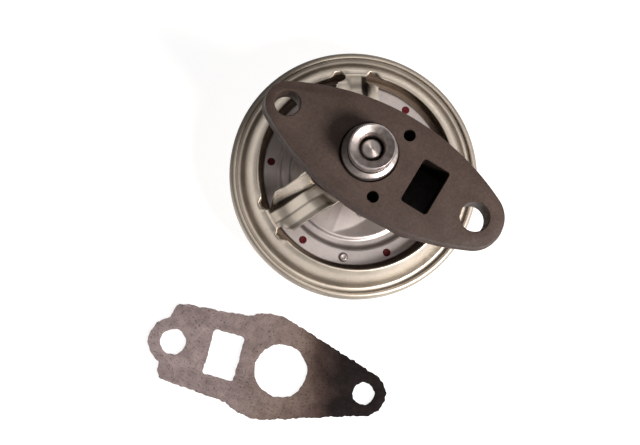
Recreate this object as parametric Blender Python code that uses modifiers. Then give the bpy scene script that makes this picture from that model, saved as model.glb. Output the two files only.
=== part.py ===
"""Vacuum-diaphragm exhaust gas recirculation valve with its separate base gasket.

The valve stands upside down on the flat crown of its diaphragm cover. The Z axis is the
stem's axis, the floor is z = 0, and +X points at the bolt hole beside the exhaust port.
From the floor up: cover, diaphragm and its plates, spoked lower housing, base casting with
the pressed-in seat. The gasket lies flat on the floor beside the valve.
"""

import math

import bmesh
import bpy
from mathutils import Matrix, Vector

MM = 0.001
GAP = 0.3 * MM

# Driving dimensions: the two base bolts, and the heights of the stack.
BOLT_SPACING = 78 * MM
FAR_BOLT_X = -34 * MM
PORT_BOLT_X = FAR_BOLT_X + BOLT_SPACING
FAR_BOLT_RADIUS = 4.6 * MM
PORT_BOLT_RADIUS = 5.35 * MM
FAR_LOBE_RADIUS = 8 * MM
PORT_LOBE_RADIUS = 11 * MM
BASE_HALF_WIDTH = 19.3 * MM
BASE_FACE_Z = 71 * MM
FLANGE_THICKNESS = 11 * MM
BOSS_BOTTOM_Z = 48 * MM
BOSS_START_X = -17 * MM
BOSS_END_X = 33 * MM
BOSS_HALF_WIDTH = 16.8 * MM
BOSS_CORNER = 11 * MM

# Gas passages in the casting.
BORE_RADIUS = 10.7 * MM
SEAT_LEDGE_Z = BASE_FACE_Z - 5 * MM
PORT_X = 23.4 * MM
PORT_LENGTH = 10.6 * MM
PORT_WIDTH = 17.6 * MM
PORT_CORNER = 1.2 * MM
CHAMBER_BOTTOM_Z = BOSS_BOTTOM_Z + 4 * MM
CHAMBER_TOP_Z = BASE_FACE_Z - 8 * MM
CHAMBER_HALF_WIDTH = 9 * MM
CHAMBER_START_X = -9.5 * MM
CHAMBER_END_X = PORT_X + PORT_LENGTH / 2
THROAT_RADIUS = 8.4 * MM
GUIDE_BORE_RADIUS = 5.8 * MM

# Screws that hold the housing to the casting. Their threaded holes run through to the base face.
SCREW_X = 9.2 * MM
SCREW_Y = 13.05 * MM
SCREW_HOLE_RADIUS = 2.15 * MM
SCREW_SHANK_RADIUS = 1.8 * MM
SCREW_TOP_Z = BASE_FACE_Z - 15 * MM
SCREW_HEAD_RADIUS = 3.8 * MM
SCREW_HEAD_HEIGHT = 2.6 * MM

# Seat, pintle and stem.
SEAT_TOP_Z = BASE_FACE_Z + 11 * MM
SEAT_FLANGE_RADIUS = 10.2 * MM
SEAT_FLANGE_TOP_Z = BASE_FACE_Z + 3.4 * MM
SEAT_NECK_RADIUS = 7.5 * MM
SEAT_RING_RADIUS = 8.25 * MM
SEAT_RING_BOTTOM_Z = SEAT_FLANGE_TOP_Z + 2 * MM
SEAT_BORE_RADIUS = 4.3 * MM
SEAT_CONE_DEPTH = 3.7 * MM
SEAT_LIP_WIDTH = 0.6 * MM
SEAT_MOUTH_RADIUS = 7 * MM
SEAT_MOUTH_DEPTH = 3.4 * MM
PINTLE_TIP_RADIUS = 3.5 * MM
PINTLE_TOP_Z = SEAT_TOP_Z - SEAT_CONE_DEPTH - GAP
PINTLE_WAIST_RADIUS = 4 * MM
PINTLE_CONE_RADIUS = 6.6 * MM
PINTLE_HUB_RADIUS = 3.6 * MM
PINTLE_BOTTOM_Z = SEAT_LEDGE_Z - 5.2 * MM
STEM_RADIUS = 2.5 * MM
STEM_CLEARANCE = 0.25 * MM
STEM_BOTTOM_Z = 14.4 * MM
TRAVEL = 6 * MM
BUSHING_RADIUS = 5.5 * MM
BUSHING_TOP_Z = PINTLE_BOTTOM_Z - TRAVEL - 0.5 * MM
SEAL_RADIUS = 6.2 * MM
SEAL_HEIGHT = 2 * MM
RETAINER_INNER_RADIUS = 6.5 * MM
RETAINER_OUTER_RADIUS = 7.5 * MM
RETAINER_FLANGE_RADIUS = 11 * MM
RETAINER_SHEET = 1 * MM
COLLAR_RADIUS = 7 * MM
COLLAR_HEIGHT = 2.2 * MM
WASHER_RADIUS = 6.5 * MM
WASHER_THICKNESS = 1 * MM
NUT_RADIUS = 4.6 * MM
NUT_HEIGHT = 3.2 * MM

# Stamped sheet between the casting and the rim.
SHEET = 1.2 * MM
HUB_FLAT_RADIUS = 20 * MM
HUB_CENTRE_X = 4.5 * MM
HUB_RADIUS = 16.6 * MM
HUB_HOLE_RADIUS = 8 * MM
HUB_BOTTOM_Z = 45.4 * MM
HUB_TOP_Z = HUB_BOTTOM_Z + SHEET
SHIELD_BOTTOM_Z = HUB_TOP_Z + GAP
SHIELD_THICKNESS = 0.8 * MM
WINDOW_OUTER_RADIUS = 37.6 * MM
SPOKE_HALF_WIDTH = 7.5 * MM
SPOKE_ANGLES = (0, 120, 240)

# Rim: cover flange, diaphragm bead, housing flange and the lip crimped over them.
RIM_RADIUS = 48.4 * MM
RIM_BOTTOM_Z = 20 * MM
RIM_TOP_Z = 26 * MM
LIP_INNER_RADIUS = 46 * MM
LIP_THICKNESS = 1.3 * MM
COVER_SHEET = 1 * MM
BEAD_BOTTOM_Z = RIM_BOTTOM_Z + COVER_SHEET + GAP
BEAD_TOP_Z = BEAD_BOTTOM_Z + 1.5 * MM
HOUSING_FLANGE_Z = BEAD_TOP_Z + GAP
CLAMPED_RADIUS = 46.9 * MM
CROWN_RADIUS = 24 * MM

# Moving plates.
PLATE_SHEET = 1 * MM
BAND_TOP_Z = 25.2 * MM
BAND_OUTER_RADIUS = 35.6 * MM
BAND_INNER_RADIUS = 30 * MM
RUBBER_TOP_Z = BAND_TOP_Z - PLATE_SHEET - GAP
RUBBER_THICKNESS = 1.2 * MM
RUBBER_BOTTOM_Z = RUBBER_TOP_Z - RUBBER_THICKNESS
RUBBER_INNER_RADIUS = BAND_INNER_RADIUS + 0.6 * MM
UPPER_PLATE_TOP_Z = RUBBER_BOTTOM_Z - GAP
UPPER_PLATE_RADIUS = 35 * MM
LOWER_FLOOR_TOP_Z = 22.5 * MM
UPPER_FLOOR_TOP_Z = LOWER_FLOOR_TOP_Z - PLATE_SHEET - GAP
FASTENER_CIRCLE_RADIUS = 32.7 * MM
PIP_ANGLES = (83, 23, -37, -97, -157, 143)
PIP_RADIUS = 1.6 * MM
RIVET_ANGLES = (-67, 53, 173)
RIVET_SHANK_RADIUS = 1.1 * MM
RIVET_HEAD_RADIUS = 1.8 * MM
RIVET_HEAD_HEIGHT = 0.9 * MM
RIVET_TAIL_HEIGHT = 0.7 * MM

# Vacuum nipple in the side of the cover's raised cup.
NIPPLE_ANGLE = 150
NIPPLE_Z = 7.6 * MM
NIPPLE_RADIUS = 2.9 * MM
NIPPLE_BORE_RADIUS = 1.6 * MM
NIPPLE_START = 28.5 * MM
NIPPLE_END = 47 * MM
NIPPLE_COLLAR_START = 33.7 * MM
NIPPLE_COLLAR_WIDTH = 1.4 * MM
NIPPLE_COLLAR_RADIUS = 4.2 * MM

# Return spring.
SPRING_RADIUS = 17 * MM
SPRING_WIRE_RADIUS = 1.1 * MM
SPRING_TURNS = 5
SPRING_STEPS_PER_TURN = 12

# Gasket, in its own plan: the port bolt hole at its origin, the far bolt hole on +X.
GASKET_THICKNESS = 1.5 * MM
GASKET_PLACE = (-26.8 * MM, -90.2 * MM)
GASKET_TURN = 15.9
GASKET_PORT_LOBE = 9.8 * MM
GASKET_FAR_LOBE = 8.8 * MM
GASKET_SHOULDER_Y = 15.6 * MM
GASKET_SIDE_Y = 17.5 * MM
GASKET_BULGE_X = 37 * MM
GASKET_BULGE_RADIUS = 20.9 * MM
GASKET_PORT_HOLE = 5 * MM
GASKET_FAR_HOLE = 4.4 * MM
GASKET_BORE_X = PORT_BOLT_X
GASKET_BORE_RADIUS = 10.4 * MM
GASKET_WINDOW_X = PORT_BOLT_X - PORT_X
GASKET_WINDOW_LENGTH = 12.4 * MM
GASKET_WINDOW_WIDTH = 17.9 * MM

# Steps round a turned piece, by its size.
FINE, MEDIUM, SMALL, TINY = 40, 24, 16, 12


def clear_scene():
    for obj in list(bpy.data.objects):
        bpy.data.objects.remove(obj, do_unlink=True)


def make_collection(name):
    collection = bpy.data.collections.new(name)
    bpy.context.scene.collection.children.link(collection)
    return collection


def make_material(name, colour, roughness, metallic):
    material = bpy.data.materials.new(name)
    material.use_nodes = True
    shader = material.node_tree.nodes["Principled BSDF"]
    shader.inputs["Base Color"].default_value = (*colour, 1)
    shader.inputs["Roughness"].default_value = roughness
    shader.inputs["Metallic"].default_value = metallic
    return material


def place(obj, collection, material=None, parent=None):
    collection.objects.link(obj)
    if material:
        obj.data.materials.append(material)
    obj.parent = parent
    return obj


def turned(name, profile, steps, collection, material=None, parent=None, closed=True):
    """A turned piece. The profile is (radius, z) pairs, clockwise: across the top, down the outside."""
    mesh = bpy.data.meshes.new(name)
    count = len(profile)
    edges = [(i, (i + 1) % count) for i in range(count if closed else count - 1)]
    mesh.from_pydata([(r, 0, z) for r, z in profile], edges, [])
    obj = place(bpy.data.objects.new(name, mesh), collection, material, parent)
    screw = obj.modifiers.new("Turn", "SCREW")
    screw.steps = screw.render_steps = steps
    screw.use_merge_vertices = True
    screw.merge_threshold = 0.00001
    screw.use_smooth_shade = True
    return obj


def cut(obj, cutter, operation="DIFFERENCE"):
    boolean = obj.modifiers.new(cutter.name, "BOOLEAN")
    boolean.operation = operation
    boolean.object = cutter


def as_helper(obj):
    obj.hide_render = True
    obj.display_type = "WIRE"
    return obj


def cylinder_cutter(name, radius, low, high, at, steps=MEDIUM):
    mesh = bpy.data.meshes.new(name)
    shape = bmesh.new()
    bmesh.ops.create_cone(
        shape, cap_ends=True, segments=steps, radius1=radius, radius2=radius, depth=high - low
    )
    shape.to_mesh(mesh)
    shape.free()
    obj = place(bpy.data.objects.new(name, mesh), cutters)
    obj.location = (*at, (low + high) / 2)
    return as_helper(obj)


def box_cutter(name, low, high):
    mesh = bpy.data.meshes.new(name)
    shape = bmesh.new()
    size = Vector(high) - Vector(low)
    bmesh.ops.create_cube(shape, size=1, matrix=Matrix.Diagonal((*size, 1)))
    shape.to_mesh(mesh)
    shape.free()
    obj = place(bpy.data.objects.new(name, mesh), cutters)
    obj.location = (Vector(low) + Vector(high)) / 2
    return as_helper(obj)


def arc(centre, radius, start, end, steps):
    """Points on an arc, from one angle to the other in degrees."""
    angles = [math.radians(start + (end - start) * i / steps) for i in range(steps + 1)]
    return [(centre[0] + radius * math.cos(a), centre[1] + radius * math.sin(a)) for a in angles]


def circle(centre, radius, steps=MEDIUM):
    return arc(centre, radius, 0, 360, steps)[:-1]


def round_rectangle(centre, length, width, corner, steps=3):
    points = []
    for quarter, (side_x, side_y) in enumerate(((1, 1), (-1, 1), (-1, -1), (1, -1))):
        middle = (
            centre[0] + side_x * (length / 2 - corner),
            centre[1] + side_y * (width / 2 - corner),
        )
        points += arc(middle, corner, 90 * quarter, 90 * quarter + 90, steps)
    return points


def base_outline():
    """Two lobes joined by long side arcs that touch both: the arc's centre is found by bisection."""

    def side_arc(depth):
        radius = depth + BASE_HALF_WIDTH
        reach_far = math.sqrt((radius - FAR_LOBE_RADIUS) ** 2 - depth**2)
        reach_port = math.sqrt((radius - PORT_LOBE_RADIUS) ** 2 - depth**2)
        return radius, reach_far, reach_port

    low, high = 0.01, 0.5
    for _ in range(60):
        depth = (low + high) / 2
        radius, reach_far, reach_port = side_arc(depth)
        low, high = (depth, high) if reach_far + reach_port < BOLT_SPACING else (low, depth)
    centre_x = FAR_BOLT_X + reach_far
    far_angle = math.degrees(math.atan2(depth, -reach_far))
    port_angle = math.degrees(math.atan2(depth, reach_port))
    top = arc((centre_x, -depth), radius, port_angle, far_angle, 10)
    bottom = [(x, -y) for x, y in reversed(top)]
    far_lobe = arc((FAR_BOLT_X, 0), FAR_LOBE_RADIUS, far_angle, 360 - far_angle, 12)
    port_lobe = arc((PORT_BOLT_X, 0), PORT_LOBE_RADIUS, -port_angle, port_angle, 12)
    return top + far_lobe[1:-1] + bottom + port_lobe[1:-1]


def gasket_outline():
    """The gasket's half outline, port lobe to far lobe, and its mirror image."""
    spread = math.degrees(
        math.asin((GASKET_BULGE_RADIUS - GASKET_FAR_LOBE) / (BOLT_SPACING - GASKET_BULGE_X))
    )
    half = arc((0, 0), GASKET_PORT_LOBE, 180, 112, 6)
    half += [
        (-3 * MM, GASKET_SHOULDER_Y - 3 * MM),
        (-1.6 * MM, GASKET_SHOULDER_Y - 0.8 * MM),
        (1 * MM, GASKET_SHOULDER_Y),
        (26 * MM, GASKET_SIDE_Y),
    ]
    half += arc((GASKET_BULGE_X, 0), GASKET_BULGE_RADIUS, 110, 90 - spread, 5)
    half += arc((BOLT_SPACING, 0), GASKET_FAR_LOBE, 90 - spread, 0, 6)
    return half + [(x, -y) for x, y in reversed(half[1:-1])]


def plate_mesh(name, outlines, thickness):
    """A flat plate centred on z = 0, as a welded mesh: the first outline is its edge, the others holes."""
    curve = bpy.data.curves.new(name, "CURVE")
    curve.dimensions = "2D"
    curve.fill_mode = "BOTH"
    curve.extrude = thickness / 2
    for outline in outlines:
        spline = curve.splines.new("POLY")
        spline.points.add(len(outline) - 1)
        for point, (x, y) in zip(spline.points, outline):
            point.co = (x, y, 0, 1)
        spline.use_cyclic_u = True
    source = bpy.data.objects.new(name + "_outline", curve)
    bpy.context.scene.collection.objects.link(source)
    graph = bpy.context.evaluated_depsgraph_get()
    mesh = bpy.data.meshes.new_from_object(source.evaluated_get(graph))
    bpy.data.objects.remove(source, do_unlink=True)
    shape = bmesh.new()
    shape.from_mesh(mesh)
    bmesh.ops.remove_doubles(shape, verts=shape.verts, dist=0.000002)
    bmesh.ops.recalc_face_normals(shape, faces=shape.faces)
    shape.to_mesh(mesh)
    shape.free()
    mesh.name = name
    return mesh


def plate(name, outlines, low, high, collection, material=None, parent=None):
    mesh = plate_mesh(name, outlines, high - low)
    obj = place(bpy.data.objects.new(name, mesh), collection, material, parent)
    obj.location.z = (low + high) / 2
    return obj


def make_base_casting():
    holes = [
        circle((FAR_BOLT_X, 0), FAR_BOLT_RADIUS),
        circle((PORT_BOLT_X, 0), PORT_BOLT_RADIUS),
    ]
    casting = plate(
        "base_casting",
        [base_outline(), *holes],
        BASE_FACE_Z - FLANGE_THICKNESS,
        BASE_FACE_Z,
        parts,
        cast_iron,
    )
    overlap = 2 * MM
    boss_length = BOSS_END_X - BOSS_START_X
    boss_middle = ((BOSS_START_X + BOSS_END_X) / 2, 0)
    boss = plate(
        "casting_boss",
        [round_rectangle(boss_middle, boss_length, 2 * BOSS_HALF_WIDTH, BOSS_CORNER, 6)],
        BOSS_BOTTOM_Z,
        BASE_FACE_Z - FLANGE_THICKNESS + overlap,
        cutters,
    )
    cut(casting, as_helper(boss), "UNION")
    chamber = box_cutter(
        "gas_chamber",
        (CHAMBER_START_X, -CHAMBER_HALF_WIDTH, CHAMBER_BOTTOM_Z),
        (CHAMBER_END_X, CHAMBER_HALF_WIDTH, CHAMBER_TOP_Z),
    )
    cut(casting, chamber)
    port = plate(
        "port_cutter",
        [round_rectangle((PORT_X, 0), PORT_LENGTH, PORT_WIDTH, PORT_CORNER)],
        CHAMBER_BOTTOM_Z + overlap,
        BASE_FACE_Z + overlap,
        cutters,
    )
    cut(casting, as_helper(port))
    bore = cylinder_cutter(
        "seat_bore", BORE_RADIUS, SEAT_LEDGE_Z, BASE_FACE_Z + overlap, (0, 0), FINE
    )
    cut(casting, bore)
    throat = cylinder_cutter(
        "seat_throat", THROAT_RADIUS, CHAMBER_TOP_Z - overlap, BASE_FACE_Z, (0, 0), MEDIUM
    )
    cut(casting, throat)
    guide = cylinder_cutter(
        "guide_bore",
        GUIDE_BORE_RADIUS,
        BOSS_BOTTOM_Z - overlap,
        CHAMBER_BOTTOM_Z + overlap,
        (0, 0),
    )
    cut(casting, guide)
    for side in (-1, 1):
        hole = cylinder_cutter(
            f"screw_hole_{side}",
            SCREW_HOLE_RADIUS,
            BOSS_BOTTOM_Z - overlap,
            BASE_FACE_Z + overlap,
            (SCREW_X, side * SCREW_Y),
            SMALL,
        )
        cut(casting, hole)


def make_valve_seat():
    chamfer = 0.7 * MM
    bottom = SEAT_LEDGE_Z + GAP
    profile = [
        (SEAT_BORE_RADIUS, SEAT_TOP_Z - SEAT_CONE_DEPTH),
        (SEAT_RING_RADIUS - chamfer - SEAT_LIP_WIDTH, SEAT_TOP_Z),
        (SEAT_RING_RADIUS - chamfer, SEAT_TOP_Z),
        (SEAT_RING_RADIUS, SEAT_TOP_Z - chamfer),
        (SEAT_RING_RADIUS, SEAT_RING_BOTTOM_Z),
        (SEAT_NECK_RADIUS, SEAT_RING_BOTTOM_Z - chamfer),
        (SEAT_NECK_RADIUS, SEAT_FLANGE_TOP_Z),
        (SEAT_FLANGE_RADIUS - chamfer, SEAT_FLANGE_TOP_Z),
        (SEAT_FLANGE_RADIUS, SEAT_FLANGE_TOP_Z - chamfer),
        (SEAT_FLANGE_RADIUS, bottom),
        (SEAT_MOUTH_RADIUS, bottom),
        (SEAT_BORE_RADIUS, bottom + SEAT_MOUTH_DEPTH),
    ]
    turned("valve_seat", profile, FINE, parts, turned_steel)


def make_pintle():
    """Tapered plug. Its wide cone rests under the seat's mouth and its tip shows in the seat's bore."""
    chamfer = 0.5 * MM
    cone_foot = SEAT_LEDGE_Z - 1.2 * MM
    profile = [
        (0, PINTLE_TOP_Z),
        (PINTLE_TIP_RADIUS - chamfer, PINTLE_TOP_Z),
        (PINTLE_TIP_RADIUS, PINTLE_TOP_Z - chamfer),
        (PINTLE_WAIST_RADIUS, SEAT_LEDGE_Z + 3.7 * MM),
        (PINTLE_CONE_RADIUS, SEAT_LEDGE_Z - 0.2 * MM),
        (PINTLE_CONE_RADIUS, cone_foot),
        (PINTLE_HUB_RADIUS, cone_foot - 2 * MM),
        (PINTLE_HUB_RADIUS, PINTLE_BOTTOM_Z),
        (0, PINTLE_BOTTOM_Z),
    ]
    turned("pintle", profile, MEDIUM, parts, turned_steel, stem_empty, closed=False)


def make_stem():
    chamfer = 0.5 * MM
    top = PINTLE_BOTTOM_Z - GAP
    profile = [
        (0, top),
        (STEM_RADIUS, top),
        (STEM_RADIUS, STEM_BOTTOM_Z + chamfer),
        (STEM_RADIUS - chamfer, STEM_BOTTOM_Z),
        (0, STEM_BOTTOM_Z),
    ]
    turned("valve_stem", profile, SMALL, parts, turned_steel, stem_empty, closed=False)


def ring_profile(inner, outer, low, high):
    return [(inner, high), (outer, high), (outer, low), (inner, low)]


def make_stem_guide():
    """Bushing in the casting, a lip seal under it and the cup that holds the seal."""
    bore = STEM_RADIUS + STEM_CLEARANCE
    bushing = ring_profile(bore, BUSHING_RADIUS, HUB_BOTTOM_Z + 0.2 * MM, BUSHING_TOP_Z)
    turned("stem_bushing", bushing, MEDIUM, parts, bushing_bronze)
    seal_top = HUB_BOTTOM_Z - 0.1 * MM
    seal = ring_profile(bore, SEAL_RADIUS, seal_top - SEAL_HEIGHT, seal_top)
    turned("stem_seal", seal, MEDIUM, parts, black_rubber)
    floor_top = seal_top - SEAL_HEIGHT - GAP
    flange_top = HUB_BOTTOM_Z - GAP
    cup_top = HUB_TOP_Z - 0.2 * MM
    retainer = [
        (RETAINER_INNER_RADIUS, cup_top),
        (RETAINER_OUTER_RADIUS, cup_top),
        (RETAINER_OUTER_RADIUS, flange_top),
        (RETAINER_FLANGE_RADIUS, flange_top),
        (RETAINER_FLANGE_RADIUS, flange_top - RETAINER_SHEET),
        (RETAINER_OUTER_RADIUS, flange_top - RETAINER_SHEET),
        (RETAINER_OUTER_RADIUS, floor_top - RETAINER_SHEET),
        (STEM_RADIUS + 0.7 * MM, floor_top - RETAINER_SHEET),
        (STEM_RADIUS + 0.7 * MM, floor_top),
        (RETAINER_INNER_RADIUS, floor_top),
    ]
    turned("seal_retainer", retainer, MEDIUM, parts, plated_steel)


def screw_hole_outlines():
    return [circle((SCREW_X, side * SCREW_Y), SCREW_HOLE_RADIUS, SMALL) for side in (-1, 1)]


def make_heat_shield():
    """Sheet between the casting and the housing's hub, in the hub's outline."""
    outlines = [
        circle((HUB_CENTRE_X, 0), HUB_RADIUS, FINE),
        circle((0, 0), HUB_HOLE_RADIUS),
        *screw_hole_outlines(),
    ]
    top = SHIELD_BOTTOM_Z + SHIELD_THICKNESS
    plate("heat_shield", outlines, SHIELD_BOTTOM_Z, top, parts, plated_steel)


def offset_sheet(line, thickness):
    """A closed profile of even thickness under a line of (radius, z) points that runs inside to outside."""
    under = []
    for i, (r, z) in enumerate(line):
        before = Vector(line[max(i - 1, 0)])
        after = Vector(line[min(i + 1, len(line) - 1)])
        along = (after - before).normalized()
        under.append((r + along.y * thickness, z - along.x * thickness))
    return list(line) + list(reversed(under))


def spider_line():
    """Upper surface of the lower housing, from the hub's hole out to its flange."""
    flange_top = HOUSING_FLANGE_Z + SHEET
    return [
        (HUB_HOLE_RADIUS, HUB_TOP_Z),
        (HUB_FLAT_RADIUS, HUB_TOP_Z),
        (23.5 * MM, HUB_TOP_Z - 1.2 * MM),
        (27 * MM, HUB_TOP_Z - 6 * MM),
        (31 * MM, HUB_TOP_Z - 12.2 * MM),
        (33.6 * MM, flange_top + 8.4 * MM),
        (WINDOW_OUTER_RADIUS, flange_top + 8 * MM),
        (39.8 * MM, flange_top + 6.6 * MM),
        (42.4 * MM, flange_top + 2.4 * MM),
        (43.8 * MM, flange_top),
        (CLAMPED_RADIUS, flange_top),
    ]


def spoke_edge_on_hub(angle, across):
    """Angle, as seen from the hub's centre, where a line along a spoke meets the hub's outline."""
    along = Vector((math.cos(math.radians(angle)), math.sin(math.radians(angle))))
    sideways = Vector((-along.y, along.x))
    centre = Vector((HUB_CENTRE_X, 0))
    offset = across - sideways.dot(centre)
    reach = along.dot(centre) + math.sqrt(HUB_RADIUS**2 - offset**2)
    meeting = along * reach + sideways * across - centre
    return math.degrees(math.atan2(meeting.y, meeting.x))


def window_outline(first_spoke, next_spoke):
    """Opening between two spokes, with sides parallel to the spokes and the hub's round at its inner end."""
    inset = math.degrees(math.asin(SPOKE_HALF_WIDTH / WINDOW_OUTER_RADIUS))
    outer = arc((0, 0), WINDOW_OUTER_RADIUS, first_spoke + inset, next_spoke - inset, 16)
    start = spoke_edge_on_hub(first_spoke, SPOKE_HALF_WIDTH)
    end = spoke_edge_on_hub(next_spoke, -SPOKE_HALF_WIDTH)
    while end < start:
        end += 360
    return outer + arc((HUB_CENTRE_X, 0), HUB_RADIUS, end, start, 10)


def make_lower_housing():
    profile = offset_sheet(spider_line(), SHEET)
    housing = turned("lower_housing", profile, FINE, parts, plated_steel)
    for number, angle in enumerate(SPOKE_ANGLES):
        opening = plate(
            f"window_cutter_{number}",
            [window_outline(angle, angle + 120)],
            RIM_BOTTOM_Z,
            BASE_FACE_Z,
            cutters,
        )
        cut(housing, as_helper(opening))
    for side in (-1, 1):
        hole = cylinder_cutter(
            f"hub_hole_{side}",
            SCREW_HOLE_RADIUS,
            HUB_BOTTOM_Z - 2 * MM,
            HUB_TOP_Z + 2 * MM,
            (SCREW_X, side * SCREW_Y),
            SMALL,
        )
        cut(housing, hole)


def make_screws():
    head_top = HUB_BOTTOM_Z - GAP
    profile = [
        (0, SCREW_TOP_Z),
        (SCREW_SHANK_RADIUS, SCREW_TOP_Z),
        (SCREW_SHANK_RADIUS, head_top),
        (SCREW_HEAD_RADIUS, head_top),
        (SCREW_HEAD_RADIUS - 0.3 * MM, head_top - SCREW_HEAD_HEIGHT),
        (0, head_top - SCREW_HEAD_HEIGHT),
    ]
    for number, side in enumerate((-1, 1), start=1):
        screw = turned(
            f"housing_screw_{number}", profile, SMALL, parts, turned_steel, closed=False
        )
        screw.location = (SCREW_X, side * SCREW_Y, 0)


def make_cover():
    """Pressed cup: flat crown, side wall, shoulder and the flange whose edge is crimped over the rim."""
    outside = [
        (0, 0),
        (CROWN_RADIUS, 0),
        (28.4 * MM, 1.1 * MM),
        (31 * MM, 4 * MM),
        (32.8 * MM, 10.8 * MM),
        (35 * MM, 13.2 * MM),
        (42.6 * MM, 19.2 * MM),
        (44 * MM, RIM_BOTTOM_Z),
        (RIM_RADIUS - 1 * MM, RIM_BOTTOM_Z),
        (RIM_RADIUS, RIM_BOTTOM_Z + 1 * MM),
        (RIM_RADIUS, RIM_TOP_Z - 0.9 * MM),
        (RIM_RADIUS - 0.9 * MM, RIM_TOP_Z),
        (LIP_INNER_RADIUS, RIM_TOP_Z),
    ]
    inside = [
        (LIP_INNER_RADIUS, RIM_TOP_Z - LIP_THICKNESS),
        (RIM_RADIUS - COVER_SHEET, RIM_TOP_Z - LIP_THICKNESS),
        (RIM_RADIUS - COVER_SHEET, RIM_BOTTOM_Z + COVER_SHEET),
        (43.8 * MM, RIM_BOTTOM_Z + COVER_SHEET),
        (42.3 * MM, 20.2 * MM),
        (34.4 * MM, 14 * MM),
        (31.9 * MM, 11.2 * MM),
        (30.1 * MM, 4.4 * MM),
        (27.9 * MM, 2 * MM),
        (CROWN_RADIUS, COVER_SHEET),
        (0, COVER_SHEET),
    ]
    profile = list(reversed(outside + inside))
    cover = turned("cover", profile, FINE, parts, plated_steel, closed=False)
    hole = turned(
        "nipple_hole",
        [(0, NIPPLE_END), (NIPPLE_RADIUS + GAP, NIPPLE_END), (NIPPLE_RADIUS + GAP, 20 * MM), (0, 20 * MM)],
        SMALL,
        cutters,
        closed=False,
    )
    aim_outwards(as_helper(hole))
    cut(cover, hole)


def aim_outwards(obj):
    """Lays a piece turned about Z along the nipple's axis."""
    outwards = Matrix.Rotation(math.radians(NIPPLE_ANGLE), 4, "Z") @ Matrix.Rotation(math.pi / 2, 4, "Y")
    obj.matrix_world = Matrix.Translation((0, 0, NIPPLE_Z)) @ outwards


def make_vacuum_nipple():
    """Hose nipple with a collar against the cover's wall and a bead near its tip."""
    barb = 0.5 * MM
    collar_end = NIPPLE_COLLAR_START + NIPPLE_COLLAR_WIDTH
    outer = [
        (NIPPLE_RADIUS - barb, NIPPLE_END),
        (NIPPLE_RADIUS, NIPPLE_END - 1 * MM),
        (NIPPLE_RADIUS, NIPPLE_END - 3 * MM),
        (NIPPLE_RADIUS - barb, NIPPLE_END - 4 * MM),
        (NIPPLE_RADIUS - barb, collar_end),
        (NIPPLE_COLLAR_RADIUS, collar_end),
        (NIPPLE_COLLAR_RADIUS, NIPPLE_COLLAR_START),
        (NIPPLE_RADIUS, NIPPLE_COLLAR_START),
        (NIPPLE_RADIUS, NIPPLE_START),
        (NIPPLE_BORE_RADIUS, NIPPLE_START),
        (NIPPLE_BORE_RADIUS, NIPPLE_END),
    ]
    nipple = turned("vacuum_nipple", outer, SMALL, parts, plated_steel)
    aim_outwards(nipple)


def make_fastener_holes(obj, name, radius, angles, low, high):
    for angle in angles:
        direction = math.radians(angle)
        at = (
            FASTENER_CIRCLE_RADIUS * math.cos(direction),
            FASTENER_CIRCLE_RADIUS * math.sin(direction),
        )
        cut(obj, cylinder_cutter(f"{name}_{angle}", radius, low, high, at, TINY))


def make_diaphragm():
    """Moulded rubber ring: inner land between the plates, a rolled convolution and a clamped bead."""
    line = [
        (RUBBER_INNER_RADIUS, RUBBER_TOP_Z),
        (36 * MM, RUBBER_TOP_Z),
        (37.2 * MM, RUBBER_TOP_Z + 0.4 * MM),
        (38.4 * MM, RUBBER_TOP_Z - 0.2 * MM),
        (40.4 * MM, BEAD_TOP_Z + 0.9 * MM),
        (42.2 * MM, BEAD_TOP_Z),
        (CLAMPED_RADIUS, BEAD_TOP_Z),
        (CLAMPED_RADIUS, BEAD_BOTTOM_Z),
        (43.6 * MM, BEAD_BOTTOM_Z),
        (42 * MM, BEAD_BOTTOM_Z + 0.3 * MM),
        (40 * MM, BEAD_TOP_Z - 0.3 * MM),
        (38.2 * MM, RUBBER_BOTTOM_Z - 0.1 * MM),
        (37.2 * MM, RUBBER_BOTTOM_Z + 0.4 * MM),
        (36 * MM, RUBBER_BOTTOM_Z),
        (RUBBER_INNER_RADIUS, RUBBER_BOTTOM_Z),
    ]
    diaphragm = turned("diaphragm", line, FINE, parts, black_rubber)
    low, high = RUBBER_BOTTOM_Z - MM, RUBBER_TOP_Z + MM
    make_fastener_holes(diaphragm, "rubber_pip_hole", PIP_RADIUS + GAP, PIP_ANGLES, low, high)
    make_fastener_holes(
        diaphragm, "rubber_rivet_hole", RIVET_SHANK_RADIUS + GAP, RIVET_ANGLES, low, high
    )


def make_lower_plate():
    line = [
        (STEM_RADIUS + GAP, LOWER_FLOOR_TOP_Z),
        (23.4 * MM, LOWER_FLOOR_TOP_Z),
        (24.8 * MM, LOWER_FLOOR_TOP_Z + 1.3 * MM),
        (27.6 * MM, LOWER_FLOOR_TOP_Z + 1.3 * MM),
        (BAND_INNER_RADIUS, BAND_TOP_Z),
        (BAND_OUTER_RADIUS, BAND_TOP_Z),
        (BAND_OUTER_RADIUS, BAND_TOP_Z - PLATE_SHEET),
        (BAND_INNER_RADIUS + 0.4 * MM, BAND_TOP_Z - PLATE_SHEET),
        (28 * MM, LOWER_FLOOR_TOP_Z + 0.3 * MM),
        (25.2 * MM, LOWER_FLOOR_TOP_Z + 0.3 * MM),
        (23.8 * MM, LOWER_FLOOR_TOP_Z - PLATE_SHEET),
        (STEM_RADIUS + GAP, LOWER_FLOOR_TOP_Z - PLATE_SHEET),
    ]
    lower = turned("lower_plate", line, FINE, parts, plated_steel, stem_empty)
    low, high = BAND_TOP_Z - 2 * MM, BAND_TOP_Z + MM
    make_fastener_holes(lower, "plate_pip_hole", PIP_RADIUS + GAP, PIP_ANGLES, low, high)
    make_fastener_holes(
        lower, "plate_rivet_hole", RIVET_SHANK_RADIUS + GAP, RIVET_ANGLES, low, high
    )


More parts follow.
